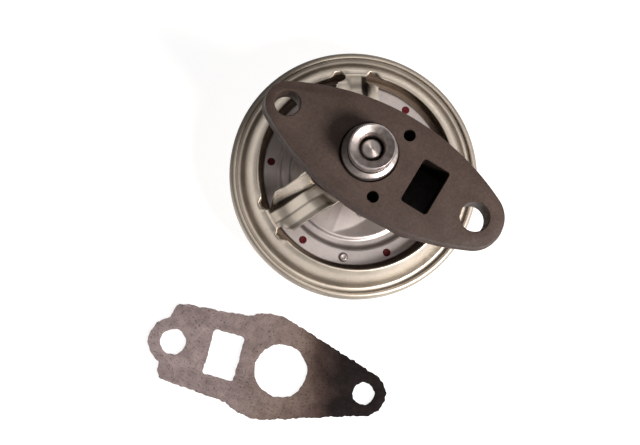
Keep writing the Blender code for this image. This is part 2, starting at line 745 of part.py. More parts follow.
def make_upper_plate():
    line = [
        (STEM_RADIUS + GAP, UPPER_FLOOR_TOP_Z),
        (23.6 * MM, UPPER_FLOOR_TOP_Z),
        (25.2 * MM, UPPER_PLATE_TOP_Z),
        (UPPER_PLATE_RADIUS, UPPER_PLATE_TOP_Z),
        (UPPER_PLATE_RADIUS, UPPER_PLATE_TOP_Z - PLATE_SHEET),
        (25.6 * MM, UPPER_PLATE_TOP_Z - PLATE_SHEET),
        (24 * MM, UPPER_FLOOR_TOP_Z - PLATE_SHEET),
        (STEM_RADIUS + GAP, UPPER_FLOOR_TOP_Z - PLATE_SHEET),
    ]
    upper = turned("upper_plate", line, FINE, parts, plated_steel, stem_empty)
    low, high = UPPER_PLATE_TOP_Z - 2 * MM, UPPER_PLATE_TOP_Z + MM
    make_fastener_holes(
        upper, "upper_rivet_hole", RIVET_SHANK_RADIUS + GAP, RIVET_ANGLES, low, high
    )


def put_on_circle(obj, angle):
    direction = math.radians(angle)
    obj.location = (
        FASTENER_CIRCLE_RADIUS * math.cos(direction),
        FASTENER_CIRCLE_RADIUS * math.sin(direction),
        0,
    )


def make_pips():
    """Moulded rubber pips that key the diaphragm into the lower plate's holes."""
    head = BAND_TOP_Z + 0.3 * MM
    foot = UPPER_PLATE_TOP_Z + GAP
    profile = [
        (0, head),
        (PIP_RADIUS - 0.4 * MM, head),
        (PIP_RADIUS, head - 0.3 * MM),
        (PIP_RADIUS, foot),
        (0, foot),
    ]
    for number, angle in enumerate(PIP_ANGLES, start=1):
        pip = turned(f"pip_{number}", profile, TINY, parts, red_silicone, stem_empty, closed=False)
        put_on_circle(pip, angle)


def make_rivets():
    top = BAND_TOP_Z + GAP
    bottom = UPPER_PLATE_TOP_Z - PLATE_SHEET - GAP
    profile = [
        (0, top + RIVET_HEAD_HEIGHT),
        (RIVET_HEAD_RADIUS - 0.6 * MM, top + RIVET_HEAD_HEIGHT),
        (RIVET_HEAD_RADIUS, top + 0.4 * MM),
        (RIVET_HEAD_RADIUS, top),
        (RIVET_SHANK_RADIUS, top),
        (RIVET_SHANK_RADIUS, bottom),
        (RIVET_HEAD_RADIUS, bottom),
        (RIVET_HEAD_RADIUS, bottom - RIVET_TAIL_HEIGHT),
        (0, bottom - RIVET_TAIL_HEIGHT),
    ]
    for number, angle in enumerate(RIVET_ANGLES, start=1):
        rivet = turned(
            f"plate_rivet_{number}", profile, TINY, parts, turned_steel, stem_empty, closed=False
        )
        put_on_circle(rivet, angle)


def make_stem_fasteners():
    """Collar on the lower plate, and the washer and nut that clamp both plates to the stem."""
    bore = STEM_RADIUS + STEM_CLEARANCE
    collar_low = LOWER_FLOOR_TOP_Z + GAP
    collar = ring_profile(bore, COLLAR_RADIUS, collar_low, collar_low + COLLAR_HEIGHT)
    turned("stem_collar", collar, MEDIUM, parts, turned_steel, stem_empty)
    washer_top = UPPER_FLOOR_TOP_Z - PLATE_SHEET - GAP
    washer = ring_profile(bore, WASHER_RADIUS, washer_top - WASHER_THICKNESS, washer_top)
    turned("stem_washer", washer, MEDIUM, parts, turned_steel, stem_empty)
    nut_top = washer_top - WASHER_THICKNESS - GAP
    outlines = [circle((0, 0), NUT_RADIUS, 6), circle((0, 0), bore, SMALL)]
    plate("stem_nut", outlines, nut_top - NUT_HEIGHT, nut_top, parts, turned_steel, stem_empty)


def make_return_spring():
    """Compression spring with a closed end turn each side, between the cover and the upper plate."""
    foot = COVER_SHEET + GAP + SPRING_WIRE_RADIUS
    head = UPPER_FLOOR_TOP_Z - PLATE_SHEET - GAP - SPRING_WIRE_RADIUS
    closed_rise = 2.3 * SPRING_WIRE_RADIUS
    curve = bpy.data.curves.new("return_spring", "CURVE")
    curve.dimensions = "3D"
    curve.bevel_depth = SPRING_WIRE_RADIUS
    curve.bevel_resolution = 2
    curve.use_fill_caps = True
    spline = curve.splines.new("POLY")
    spline.points.add(SPRING_TURNS * SPRING_STEPS_PER_TURN)
    for i, point in enumerate(spline.points):
        turn = i / SPRING_STEPS_PER_TURN
        if turn < 1:
            z = foot + closed_rise * turn**2
        elif turn > SPRING_TURNS - 1:
            z = head - closed_rise * (SPRING_TURNS - turn) ** 2
        else:
            share = (turn - 1) / (SPRING_TURNS - 2)
            z = foot + closed_rise + share * (head - foot - 2 * closed_rise)
        angle = 2 * math.pi * turn
        point.co = (SPRING_RADIUS * math.cos(angle), SPRING_RADIUS * math.sin(angle), z, 1)
    place(bpy.data.objects.new("return_spring", curve), parts, spring_steel)


def make_gasket():
    outlines = [
        gasket_outline(),
        circle((0, 0), GASKET_PORT_HOLE),
        circle((BOLT_SPACING, 0), GASKET_FAR_HOLE),
        circle((GASKET_BORE_X, 0), GASKET_BORE_RADIUS, 32),
        round_rectangle((GASKET_WINDOW_X, 0), GASKET_WINDOW_LENGTH, GASKET_WINDOW_WIDTH, PORT_CORNER),
    ]
    gasket = plate("gasket", outlines, 0, GASKET_THICKNESS, parts, gasket_fibre)
    gasket.location.x, gasket.location.y = GASKET_PLACE
    gasket.rotation_euler.z = math.radians(GASKET_TURN)


clear_scene()
parts = make_collection("egr_valve")
cutters = make_collection("cutters")
stem_empty = bpy.data.objects.new("stem_axis", None)
parts.objects.link(stem_empty)

cast_iron = make_material("cast_iron", (0.085, 0.062, 0.05), 0.75, 0.2)
plated_steel = make_material("plated_steel", (0.62, 0.58, 0.48), 0.32, 1)
turned_steel = make_material("turned_steel", (0.55, 0.53, 0.51), 0.28, 1)
spring_steel = make_material("spring_steel", (0.35, 0.35, 0.36), 0.35, 1)
bushing_bronze = make_material("bushing_bronze", (0.45, 0.3, 0.14), 0.4, 1)
black_rubber = make_material("diaphragm_rubber", (0.02, 0.018, 0.017), 0.6, 0)
red_silicone = make_material("red_silicone", (0.16, 0.008, 0.014), 0.45, 0)
gasket_fibre = make_material("gasket_fibre", (0.16, 0.12, 0.11), 0.85, 0)

make_base_casting()
make_valve_seat()
make_pintle()
make_stem()
make_stem_guide()
make_heat_shield()
make_lower_housing()
make_screws()
make_cover()
make_vacuum_nipple()
make_diaphragm()
make_lower_plate()
make_upper_plate()
make_pips()
make_rivets()
make_stem_fasteners()
make_return_spring()
make_gasket()
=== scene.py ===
"""Looks of a vacuum-diaphragm exhaust gas recirculation valve that lies base up, and its gasket.

Each visible CAD piece is replaced by a finer one in the same place, with rounded edges, pressed
ribs and cast or machined surfaces. Lengths are in metres, named in millimetres through MM.
"""

import math

import bmesh
import bpy
from mathutils import Matrix, Vector, noise


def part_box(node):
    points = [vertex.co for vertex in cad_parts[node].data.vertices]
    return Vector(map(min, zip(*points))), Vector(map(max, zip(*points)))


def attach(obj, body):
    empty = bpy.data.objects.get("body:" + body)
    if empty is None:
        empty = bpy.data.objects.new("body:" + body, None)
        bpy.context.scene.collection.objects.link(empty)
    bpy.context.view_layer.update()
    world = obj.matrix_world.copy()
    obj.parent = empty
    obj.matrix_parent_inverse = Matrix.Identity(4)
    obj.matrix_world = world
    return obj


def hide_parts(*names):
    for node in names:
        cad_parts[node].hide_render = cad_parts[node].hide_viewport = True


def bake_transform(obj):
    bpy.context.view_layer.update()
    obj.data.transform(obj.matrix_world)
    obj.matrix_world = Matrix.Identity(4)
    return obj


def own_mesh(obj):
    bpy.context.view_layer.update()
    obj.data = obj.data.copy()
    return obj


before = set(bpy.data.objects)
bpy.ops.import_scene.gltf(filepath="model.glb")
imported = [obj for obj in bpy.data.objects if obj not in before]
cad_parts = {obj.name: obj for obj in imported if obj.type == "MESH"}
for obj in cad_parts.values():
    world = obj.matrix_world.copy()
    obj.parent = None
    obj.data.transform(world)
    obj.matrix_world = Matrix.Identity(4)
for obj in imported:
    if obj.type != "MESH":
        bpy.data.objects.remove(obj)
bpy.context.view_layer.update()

MM = 0.001
ROUND_STEPS = 144
SMALL_STEPS = 48
SHARP_ANGLE = math.radians(38)

# Heights and radii that several pieces share, read from the frame where a node gives them.
BASE_LOW, BASE_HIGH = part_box("base_casting")
RIM_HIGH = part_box("cover")[1]
HOUSING_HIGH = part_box("lower_housing")[1]
PLATE_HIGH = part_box("lower_plate")[1]
RUBBER_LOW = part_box("diaphragm")[0]

BASE_FACE_Z = BASE_HIGH.z
BOSS_BOTTOM_Z = BASE_LOW.z
FLANGE_BOTTOM_Z = BASE_FACE_Z - 11 * MM
FAR_BOLT_X = -34 * MM
PORT_BOLT_X = 44 * MM
BOLT_SPACING = PORT_BOLT_X - FAR_BOLT_X
SCREW_PLACES = ((9.2 * MM, -13.05 * MM), (9.2 * MM, 13.05 * MM))
SCREW_HOLE_RADIUS = 2.15 * MM
PORT_X = 23.4 * MM
RIM_RADIUS = RIM_HIGH.x
RIM_TOP_Z = RIM_HIGH.z
RIM_BOTTOM_Z = RIM_TOP_Z - 6 * MM
HUB_TOP_Z = HOUSING_HIGH.z
SHEET = 1.2 * MM
FLANGE_TOP_Z = 24.3 * MM
CLAMPED_RADIUS = HOUSING_HIGH.x
BAND_TOP_Z = PLATE_HIGH.z
FASTENER_CIRCLE = 32.7 * MM
PIP_ANGLES = (83, 23, -37, -97, -157, 143)
RIVET_ANGLES = (-67, 53, 173)
GASKET_PLACE = (-26.8 * MM, -90.2 * MM, 0)
GASKET_TURN = math.radians(15.9)


# ---------------------------------------------------------------- mesh helpers


def linked(name, data):
    """A new object in the scene."""
    obj = bpy.data.objects.new(name, data)
    bpy.context.scene.collection.objects.link(obj)
    return obj


def show(name, mesh, body, material, replaced):
    """Adds a piece that rides on a body, in the finish of a material slot, in place of CAD nodes."""
    piece = linked(name, mesh)
    mesh.materials.clear()
    mesh.materials.append(material)
    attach(piece, body)
    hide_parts(*replaced)
    return piece


def smooth(mesh, angle=SHARP_ANGLE):
    mesh.shade_smooth()
    mesh.set_sharp_from_angle(angle=angle)
    return mesh


def outward(shape, name):
    """Turns a bmesh into a mesh with outward faces."""
    bmesh.ops.recalc_face_normals(shape, faces=shape.faces)
    mesh = bpy.data.meshes.new(name)
    shape.to_mesh(mesh)
    shape.free()
    return mesh


def above(level, points):
    """Profile points, given in millimetres as (radius, height above a level)."""
    return [(radius * MM, level + height * MM) for radius, height in points]


def rounded(profile, radius, closed=True, steps=4):
    """The profile with each corner replaced by a short curve."""
    points = [Vector(p) for p in profile]
    count = len(points)
    result = []
    for i, corner in enumerate(points):
        if not closed and i in (0, count - 1):
            result.append(corner)
            continue
        before = points[i - 1] - corner
        after = points[(i + 1) % count] - corner
        reach = min(radius, before.length * 0.45, after.length * 0.45)
        start = corner + before.normalized() * reach
        end = corner + after.normalized() * reach
        for step in range(steps + 1):
            t = step / steps
            result.append(start * (1 - t) ** 2 + corner * (2 * t * (1 - t)) + end * t**2)
    return result


def lathe(name, profile, steps=ROUND_STEPS, closed=True, start=0.0, sweep=2 * math.pi):
    """Turns (radius, z) points round Z. A profile that isn't closed runs from the axis back to it."""
    shape = bmesh.new()
    whole = sweep > 2 * math.pi - 1e-6
    columns = steps if whole else steps + 1
    rings = []
    for radius, z in profile:
        if radius < 1e-9:
            rings.append([shape.verts.new((0, 0, z))] * columns)
            continue
        ring = []
        for i in range(columns):
            ring.append(shape.verts.new(around(radius, start + sweep * i / steps, z)))
        rings.append(ring)
    pairs = len(rings) if closed else len(rings) - 1
    for j in range(pairs):
        first, second = rings[j], rings[(j + 1) % len(rings)]
        for i in range(steps):
            k = (i + 1) % columns
            corners = []
            for vert in (first[i], first[k], second[k], second[i]):
                if vert not in corners:
                    corners.append(vert)
            if len(corners) > 2:
                shape.faces.new(corners)
    if not whole:
        for i in (0, columns - 1):
            shape.faces.new([ring[i] for ring in rings])
    return smooth(outward(shape, name))


def around(radius, angle, z=0.0):
    """The point at a radius and an angle in radians round the axis."""
    return (radius * math.cos(angle), radius * math.sin(angle), z)


def arc(centre, radius, start, end, steps):
    """Points on an arc, from one angle to the other in degrees."""
    angles = [math.radians(start + (end - start) * i / steps) for i in range(steps + 1)]
    return [(centre[0] + radius * math.cos(a), centre[1] + radius * math.sin(a)) for a in angles]


def circle(centre, radius, steps=SMALL_STEPS):
    return arc(centre, radius, 0, 360, steps)[:-1]


def round_rectangle(centre, length, width, corner, steps=8):
    points = []
    for quarter, (side_x, side_y) in enumerate(((1, 1), (-1, 1), (-1, -1), (1, -1))):
        middle = (centre[0] + side_x * (length / 2 - corner), centre[1] + side_y * (width / 2 - corner))
        points += arc(middle, corner, 90 * quarter, 90 * quarter + 90, steps)
    return points


def skin(shape, rings):
    """Quads between each closed ring of vertices and the next."""
    for first, second in zip(rings, rings[1:]):
        for i in range(len(first)):
            k = (i + 1) % len(first)
            shape.faces.new((first[i], first[k], second[k], second[i]))


def loft(name, levels):
    """A closed solid through outlines of equal length, each with its height, from the top down."""
    shape = bmesh.new()
    rings = [[shape.verts.new((x, y, z)) for x, y in outline] for z, outline in levels]
    skin(shape, rings)
    shape.faces.new(rings[0])
    shape.faces.new(list(reversed(rings[-1])))
    return outward(shape, name)


def spun(name, profile, corner, steps=SMALL_STEPS):
    """Turns a profile that runs from the axis back to it, with its corners rounded."""
    return lathe(name, rounded(profile, corner, closed=False), steps, closed=False)


def drill(name, radius, start, end, at=(0, 0)):
    """A plain round cutter from one height to another."""
    profile = [(0, start), (radius, start), (radius, end), (0, end)]
    mesh = lathe(name, profile, SMALL_STEPS, closed=False)
    mesh.transform(Matrix.Translation((*at, 0)))
    return mesh


def combine(mesh, cuts=(), joined=()):
    """Joins solids to a mesh, then cuts others from it, one Boolean each, and applies the result."""
    base = linked(mesh.name, mesh)
    tools = [("UNION", tool) for tool in joined] + [("DIFFERENCE", tool) for tool in cuts]
    helpers = [linked(tool.name, tool) for _, tool in tools]
    for (operation, _), helper in zip(tools, helpers):
        boolean = base.modifiers.new(helper.name, "BOOLEAN")
        boolean.operation = operation
        boolean.object = helper
        boolean.solver = "EXACT"
    result = applied(base)
    for helper in helpers:
        bpy.data.objects.remove(helper, do_unlink=True)
    return smooth(result)


def applied(obj):
    """The object's mesh with its modifiers applied. The object is removed."""
    graph = bpy.context.evaluated_depsgraph_get()
    result = bpy.data.meshes.new_from_object(obj.evaluated_get(graph))
    result.name = obj.data.name
    bpy.data.objects.remove(obj, do_unlink=True)
    return result


def sheet_metal(name, shape, thickness, edge):
    """Thickens an open pressed surface downwards and rounds its cut edges."""
    obj = linked(name, outward(shape, name))
    solid = obj.modifiers.new("Sheet", "SOLIDIFY")
    solid.thickness = thickness
    solid.offset = -1
    solid.use_even_offset = True
    bevel = obj.modifiers.new("Edge", "BEVEL")
    bevel.width = edge
    bevel.segments = 2
    bevel.limit_method = "ANGLE"
    bevel.angle_limit = math.radians(60)
    return smooth(applied(obj), math.radians(50))


def shaded(mesh, amount):
    """Stores on each point how strongly painted shade darkens it, 0 to 1, for the steel materials."""
    layer = mesh.attributes.new("painted_shade", "FLOAT", "POINT")
    for vert, value in zip(mesh.vertices, layer.data):
        value.value = min(1.0, max(0.0, amount(vert.co)))
    return mesh


def stripe(value, middle, half_width):
    """1 at the middle, falling smoothly to 0 at the half-width."""
    return 1 - ease(abs(value - middle) / half_width)


def ease(value):
    """Smooth step from 0 to 1."""
    t = min(max(value, 0.0), 1.0)
    return t * t * (3 - 2 * t)


# ---------------------------------------------------------------- materials


class Nodes:
    """Short calls for building a material's nodes around its Principled shader."""

    def __init__(self, name):
        self.material = bpy.data.materials.new(name)
        self.material.use_nodes = True
        self.tree = self.material.node_tree
        self.shader = self.tree.nodes["Principled BSDF"]
        self.place = self.add("TexCoord").outputs["Object"]

    def add(self, kind, **values):
        node = self.tree.nodes.new("ShaderNode" + kind)
        for name, value in values.items():
            node.inputs[name].default_value = value
        return node

    def link(self, source, target):
        self.tree.links.new(source, target)

    def noise(self, scale, detail=4.0, roughness=0.55, vector=None):
        node = self.add("TexNoise", Scale=scale, Detail=detail, Roughness=roughness)
        self.link(vector or self.place, node.inputs["Vector"])
        return node.outputs["Fac"]

    def attribute(self, name):
        node = self.add("Attribute")
        node.attribute_name = name
        return node.outputs["Fac"]

    def ramp(self, source, stops):
        node = self.add("ValToRGB")
        ramp = node.color_ramp
        while len(ramp.elements) < len(stops):
            ramp.elements.new(0.5)
        for element, (position, colour) in zip(ramp.elements, stops):
            element.position = position
            value = colour if isinstance(colour, tuple) else (colour, colour, colour)
            element.color = (*value, 1)
        self.link(source, node.inputs["Fac"])
        return node.outputs["Color"]

    def clouds(self, scale, dark, light, detail=4.0):
        """Soft blotches of two colours or values."""
        return self.ramp(self.noise(scale, detail), [(0.3, dark), (0.7, light)])

    def mix(self, factor, first, second, mode="MIX"):
        node = self.add("Mix")
        node.data_type = "RGBA"
        node.blend_type = mode
        for number, value in ((0, factor), (6, first), (7, second)):
            socket = node.inputs[number]
            if isinstance(value, bpy.types.NodeSocket):
                self.link(value, socket)
            elif isinstance(value, tuple):
                socket.default_value = (*value, 1)
            else:
                socket.default_value = value
        return node.outputs[2]

    def polar(self, angular, along):
        """Coordinates that follow the turning marks: angle, radius and height, scaled."""
        x, y, z = self.axes()
        squares = [self.math("MULTIPLY", axis, axis) for axis in (x, y)]
        radius = self.math("SQRT", self.math("ADD", *squares))
        angle = self.math("ARCTAN2", y, x)
        join = self.add("CombineXYZ")
        for number, (value, scale) in enumerate(((angle, angular), (radius, along), (z, along))):
            self.link(self.math("MULTIPLY", value, scale), join.inputs[number])
        return join.outputs[0]

    def inside(self, low, high, below):
        """1 inside an upright box that is open at the bottom, 0 outside."""
        x, y, z = self.axes()
        result = self.math("LESS_THAN", z, below)
        for axis, least, most in zip((x, y), low, high):
            result = self.math("MULTIPLY", result, self.math("GREATER_THAN", axis, least))
            result = self.math("MULTIPLY", result, self.math("LESS_THAN", axis, most))
        return result

    def axes(self, vector=None):
        node = self.add("SeparateXYZ")
        self.link(vector or self.place, node.inputs[0])
        return node.outputs

    def math(self, operation, first, second=None):
        node = self.add("Math")
        node.operation = operation
        for socket, value in zip(node.inputs, (first, second)):
            if isinstance(value, bpy.types.NodeSocket):
                self.link(value, socket)
            elif value is not None:
                socket.default_value = value
        return node.outputs[0]

    def bump(self, height, strength, distance, normal=None):
        node = self.add("Bump", Strength=strength, Distance=distance)
        self.link(height, node.inputs["Height"])
        if normal:
            self.link(normal, node.inputs["Normal"])
        return node.outputs["Normal"]

    def finish(self, colour, roughness, normal=None, metallic=0.0, specular=0.5):
        self.shader.inputs["Metallic"].default_value = metallic
        self.shader.inputs["Specular IOR Level"].default_value = specular
        for name, value in (("Base Color", colour), ("Roughness", roughness)):
            socket = self.shader.inputs[name]
            if isinstance(value, bpy.types.NodeSocket):
                self.link(value, socket)
            else:
                socket.default_value = (*value, 1) if isinstance(value, tuple) else value
        if normal:
            self.link(normal, self.shader.inputs["Normal"])
        return self.material


def cast_iron_material():
    """Brown-grey iron: blotches, fine grain and pits. The port, chamber and screw holes are painted
    near-black: exhaust deposits in the passage, and painted shade deep in the passage and the holes.
    """
    n = Nodes("cast_iron")
    blotch = n.clouds(70, (0.054, 0.034, 0.028), (0.076, 0.050, 0.041))
    grain = n.clouds(1400, 0.78, 1.15, 3)
    colour = n.mix(1.0, blotch, grain, "MULTIPLY")
    below = BASE_FACE_Z - 0.4 * MM
    # Painted shade, with exhaust deposits in the gas passage: near-black below the face in the port, the
    # chamber and the screw holes.
    passage = n.inside((PORT_X - 14.8 * MM, -9.05 * MM), (PORT_X + 5.5 * MM, 9.05 * MM), below)
    reach = 2.4 * MM
    for x, y in SCREW_PLACES:
        hole = n.inside((x - reach, y - reach), (x + reach, y + reach), below)
        passage = n.math("MAXIMUM", passage, hole)
    colour = n.mix(passage, colour, (0.012, 0.008, 0.006))
    roughness = n.clouds(300, 0.52, 0.72)
    fine = n.bump(n.noise(1600, 4, 0.6), 0.35, 0.0002)
    normal = n.bump(n.noise(260, 3), 0.3, 0.0005, fine)
    return n.finish(colour, roughness, normal, 0.0, 0.25)


def plated_steel_material(name="plated_steel", warm=(0.80, 0.71, 0.605), cool=(0.66, 0.58, 0.50)):
    """Zinc-plated pressing: faint drawing marks and cloudy yellowish plating, darkened by painted shade
    and painted shadow where a piece stores it.
    """
    n = Nodes(name)
    cloud = n.ramp(n.noise(55, 5), [(0.35, cool), (0.7, warm)])
    specks = n.ramp(n.noise(900, 3), [(0.25, 0.86), (0.45, 1.0)])
    clean = n.mix(1.0, cloud, specks, "MULTIPLY")
    # Painted shade and painted shadow, stored per point by the piece, darken the plating towards
    # near-black and make it rougher there.
    painted_shade = n.attribute("painted_shade")
    colour = n.mix(painted_shade, clean, (0.045, 0.034, 0.026))
    marks = n.noise(1.0, 3, 0.6, n.polar(1.5, 2200))
    worn = n.clouds(120, 0.41, 0.51)
    roughness = n.mix(painted_shade, worn, (0.6, 0.6, 0.6))
    drawn = n.bump(marks, 0.10, 0.0001)
    normal = n.bump(n.noise(700, 3), 0.05, 0.0002, drawn)
    return n.finish(colour, roughness, normal, 1.0)


def turned_steel_material(name="turned_steel", anisotropy=0.0):
    """Machined steel with fine turning rings and a slight heat tint, darkened by painted shade where a
    piece stores it.
    """
    n = Nodes(name)
    tint = n.ramp(n.noise(420, 5, 0.65), [(0.35, (0.36, 0.31, 0.295)), (0.65, (0.60, 0.53, 0.505))])
    rings = n.noise(1.0, 2, 0.5, n.polar(0.8, 3200))
    # Painted shade: where a piece stores it per point (the seat), the steel is darkened towards
    # near-black.
    shade_amount = n.attribute("painted_shade")
    tint = n.mix(shade_amount, tint, (0.05, 0.036, 0.031))
    roughness = n.clouds(240, 0.36, 0.48, 3)
    n.shader.inputs["Anisotropic"].default_value = anisotropy
    n.shader.inputs["Anisotropic Rotation"].default_value = 0.25
    turned = n.bump(rings, 0.10, 0.0001)
    return n.finish(tint, roughness, n.bump(n.noise(900, 4), 0.08, 0.0002, turned), 1.0)


def plain_material(name, scale, dark, light, roughness, grain, strength, depth, metallic, specular):
    """Blotches of two colours at one scale, over a fine grain at another."""
    n = Nodes(name)
    normal = n.bump(n.noise(grain), strength, depth)
    return n.finish(n.clouds(scale, dark, light), roughness, normal, metallic, specular)


RUBBER = (400, (0.110, 0.076, 0.054), (0.150, 0.104, 0.074), 0.55, 900, 0.2, 0.0002, 0.0, 0.4)
SILICONE = (500, (0.055, 0.003, 0.005), (0.095, 0.005, 0.008), 0.5, 1500, 0.15, 0.0001, 0.0, 0.15)
BRONZE = (600, (0.40, 0.26, 0.12), (0.52, 0.36, 0.18), 0.42, 1800, 0.2, 0.0001, 1.0, 0.5)
SPRING_STEEL = (300, (0.26, 0.26, 0.27), (0.40, 0.40, 0.41), 0.34, 1500, 0.1, 0.0001, 1.0, 0.5)


def gasket_material(low, high):
    """Fibre sheet: pinkish grey at the port end, heat-blackened at the far end, specked all over."""
    n = Nodes("gasket_fibre")
    middle = (low + high) / 2
    length = (high - low).x
    shift = n.add("Mapping", Location=(-middle.x, -middle.y, 0))
    n.link(n.place, shift.inputs["Vector"])
    rotate = n.add("VectorRotate", Angle=-GASKET_TURN)
    rotate.rotation_type = "Z_AXIS"
    n.link(shift.outputs["Vector"], rotate.inputs["Vector"])
    x = n.axes(rotate.outputs["Vector"])[0]
    along = n.math("ADD", n.math("MULTIPLY", x, 1 / length), 0.5)
    wobble = n.math("MULTIPLY", n.math("SUBTRACT", n.noise(45, 4), 0.5), 0.35)
    place = n.math("ADD", along, wobble)
    stops = [
        (0.0, (0.290, 0.230, 0.230)),
        (0.42, (0.235, 0.180, 0.175)),
        (0.60, (0.175, 0.128, 0.112)),
        (0.72, (0.060, 0.037, 0.032)),
        (0.82, (0.010, 0.006, 0.006)),
    ]
    heat = n.ramp(place, stops)
    mottle = n.ramp(n.noise(330, 5, 0.65), [(0.3, 0.72), (0.7, 1.22)])
    specks = n.ramp(n.noise(1300, 2, 0.5), [(0.33, 0.45), (0.42, 1.0)])
    colour = n.mix(1.0, n.mix(1.0, heat, mottle, "MULTIPLY"), specks, "MULTIPLY")
    roughness = n.clouds(500, 0.62, 0.85)
    fine = n.bump(n.noise(1500, 4, 0.6), 0.5, 0.0002)
    normal = n.bump(n.noise(240, 4), 0.35, 0.0004, fine)
    return n.finish(colour, roughness, normal, 0.0, 0.12)


# ---------------------------------------------------------------- pieces


def base_outline(grow=0.0):
    """Two lobes joined by long side arcs that touch both. grow moves the outline outwards."""
    half_width, far_lobe, port_lobe = 19.3 * MM + grow, 8 * MM + grow, 11 * MM + grow
    low, high = 0.01, 0.5
    for _ in range(50):
        depth = (low + high) / 2
        radius = depth + half_width
        reach_far = math.sqrt((radius - far_lobe) ** 2 - depth**2)
        reach_port = math.sqrt((radius - port_lobe) ** 2 - depth**2)
        low, high = (depth, high) if reach_far + reach_port < BOLT_SPACING else (low, depth)
    centre = (FAR_BOLT_X + reach_far, -depth)
    far_angle = math.degrees(math.atan2(depth, -reach_far))
    port_angle = math.degrees(math.atan2(depth, reach_port))
    top = arc(centre, radius, port_angle, far_angle, 60)
    bottom = [(x, -y) for x, y in reversed(top)]
    far = arc((FAR_BOLT_X, 0), far_lobe, far_angle, 360 - far_angle, 30)
    port = arc((PORT_BOLT_X, 0), port_lobe, -port_angle, port_angle, 36)
    return top + far[1:-1] + bottom + port[1:-1]


def roughened(mesh, top, amount, scale):
    """Moves the points of an as-cast surface in and out a little, below the machined face."""
    for vert in mesh.vertices:
        if vert.co.z > top:
            continue
        shift = noise.noise(vert.co * scale) + 0.5 * noise.noise(vert.co * scale * 2.7)
        away = Vector((vert.co.x, vert.co.y, 0)).normalized()
        vert.co += away * shift * amount
    return mesh


def flared_hole(name, radius, low, high, flare, at=(0, 0)):
    """A round cutter whose upper end opens out, which breaks the hole's edge."""
    over = 2 * MM
    profile = [
        (0, high + over),
        (radius + flare + over, high + over),
        (radius + flare, high),
        (radius, high - flare),
        (radius, low),
        (0, low),
    ]
    mesh = lathe(name, profile, SMALL_STEPS * 2, closed=False)
    mesh.transform(Matrix.Translation((*at, 0)))
    return mesh


def make_base_casting(material):
    """Lozenge flange and boss with the exhaust port, the chamber behind it, and five round holes."""
    levels = (
        (0.0, -0.45), (0.18, -0.12), (0.5, 0.0), (2.4, 0.08), (4.3, 0.3), (5.2, 0.75),
        (5.7, 0.8), (6.3, 0.35), (7.6, 0.1), (9.6, -0.1), (10.6, -0.5), (11.0, -1.2),
    )
    flange = loft(
        "base_casting_body",
        [(BASE_FACE_Z - down * MM, base_outline(grow * MM)) for down, grow in levels],
    )
    roughened(flange, BASE_FACE_Z - 1 * MM, 0.22 * MM, 160)
    boss_levels = []
    for down, grow in ((-2.5, 1.8), (0, 1.6), (0.7, 0.6), (2, 0.1), (6, -0.15), (11, -0.4), (12, -1.2)):
        length, width = (50 + 2 * grow) * MM, (33.6 + 2 * grow) * MM
        outline = round_rectangle((8 * MM, 0), length, width, 11 * MM, 16)
        boss_levels.append((FLANGE_BOTTOM_Z - down * MM, outline))
    boss = roughened(loft("boss", boss_levels), FLANGE_BOTTOM_Z, 0.2 * MM, 170)
    port_levels = []
    for z, flare in (
        (BASE_FACE_Z + 1 * MM, 1.2 * MM),
        (BASE_FACE_Z, 0.2 * MM),
        (BASE_FACE_Z - 0.3 * MM, 0.0),
        (BOSS_BOTTOM_Z + 6 * MM, 0.0),
    ):
        length, width = 10.6 * MM + 2 * flare, 17.6 * MM + 2 * flare
        port_levels.append((z, round_rectangle((PORT_X, 0), length, width, 1.2 * MM + flare)))
    chamber_end = PORT_X + 5.3 * MM
    chamber_length = chamber_end + 9.5 * MM
    chamber_middle = (chamber_end - chamber_length / 2, 0)
    chamber_outline = round_rectangle(chamber_middle, chamber_length, 18 * MM, 3 * MM)
    chamber_levels = [(z, chamber_outline) for z in (BASE_FACE_Z - 8 * MM, BOSS_BOTTOM_Z + 4 * MM)]
    under_flange, under_boss = FLANGE_BOTTOM_Z - 2 * MM, BOSS_BOTTOM_Z - 2 * MM
    cuts = [loft("chamber", chamber_levels), loft("port", port_levels)]
    for name, radius, low, high, flare, at in (
        ("bore", 10.7, BASE_FACE_Z - 5 * MM, BASE_FACE_Z, 0.25, (0, 0)),
        ("throat", 8.4, BASE_FACE_Z - 10 * MM, BASE_FACE_Z - 3 * MM, 0.1, (0, 0)),
        ("guide", 5.8, under_boss, BOSS_BOTTOM_Z + 6 * MM, 0.1, (0, 0)),
        ("far_bolt_hole", 4.6, under_flange, BASE_FACE_Z, 0.35, (FAR_BOLT_X, 0)),
        ("port_bolt_hole", 5.35, under_flange, BASE_FACE_Z, 0.35, (PORT_BOLT_X, 0)),
        ("screw_hole_1", SCREW_HOLE_RADIUS / MM, under_boss, BASE_FACE_Z, 0.15, SCREW_PLACES[0]),
        ("screw_hole_2", SCREW_HOLE_RADIUS / MM, under_boss, BASE_FACE_Z, 0.15, SCREW_PLACES[1]),
    ):
        cuts.append(flared_hole(name, radius * MM, low, high, flare * MM, at))
    mesh = combine(flange, cuts, [boss])
    show("base_casting_body", mesh, "valve_body", material, ["base_casting"])


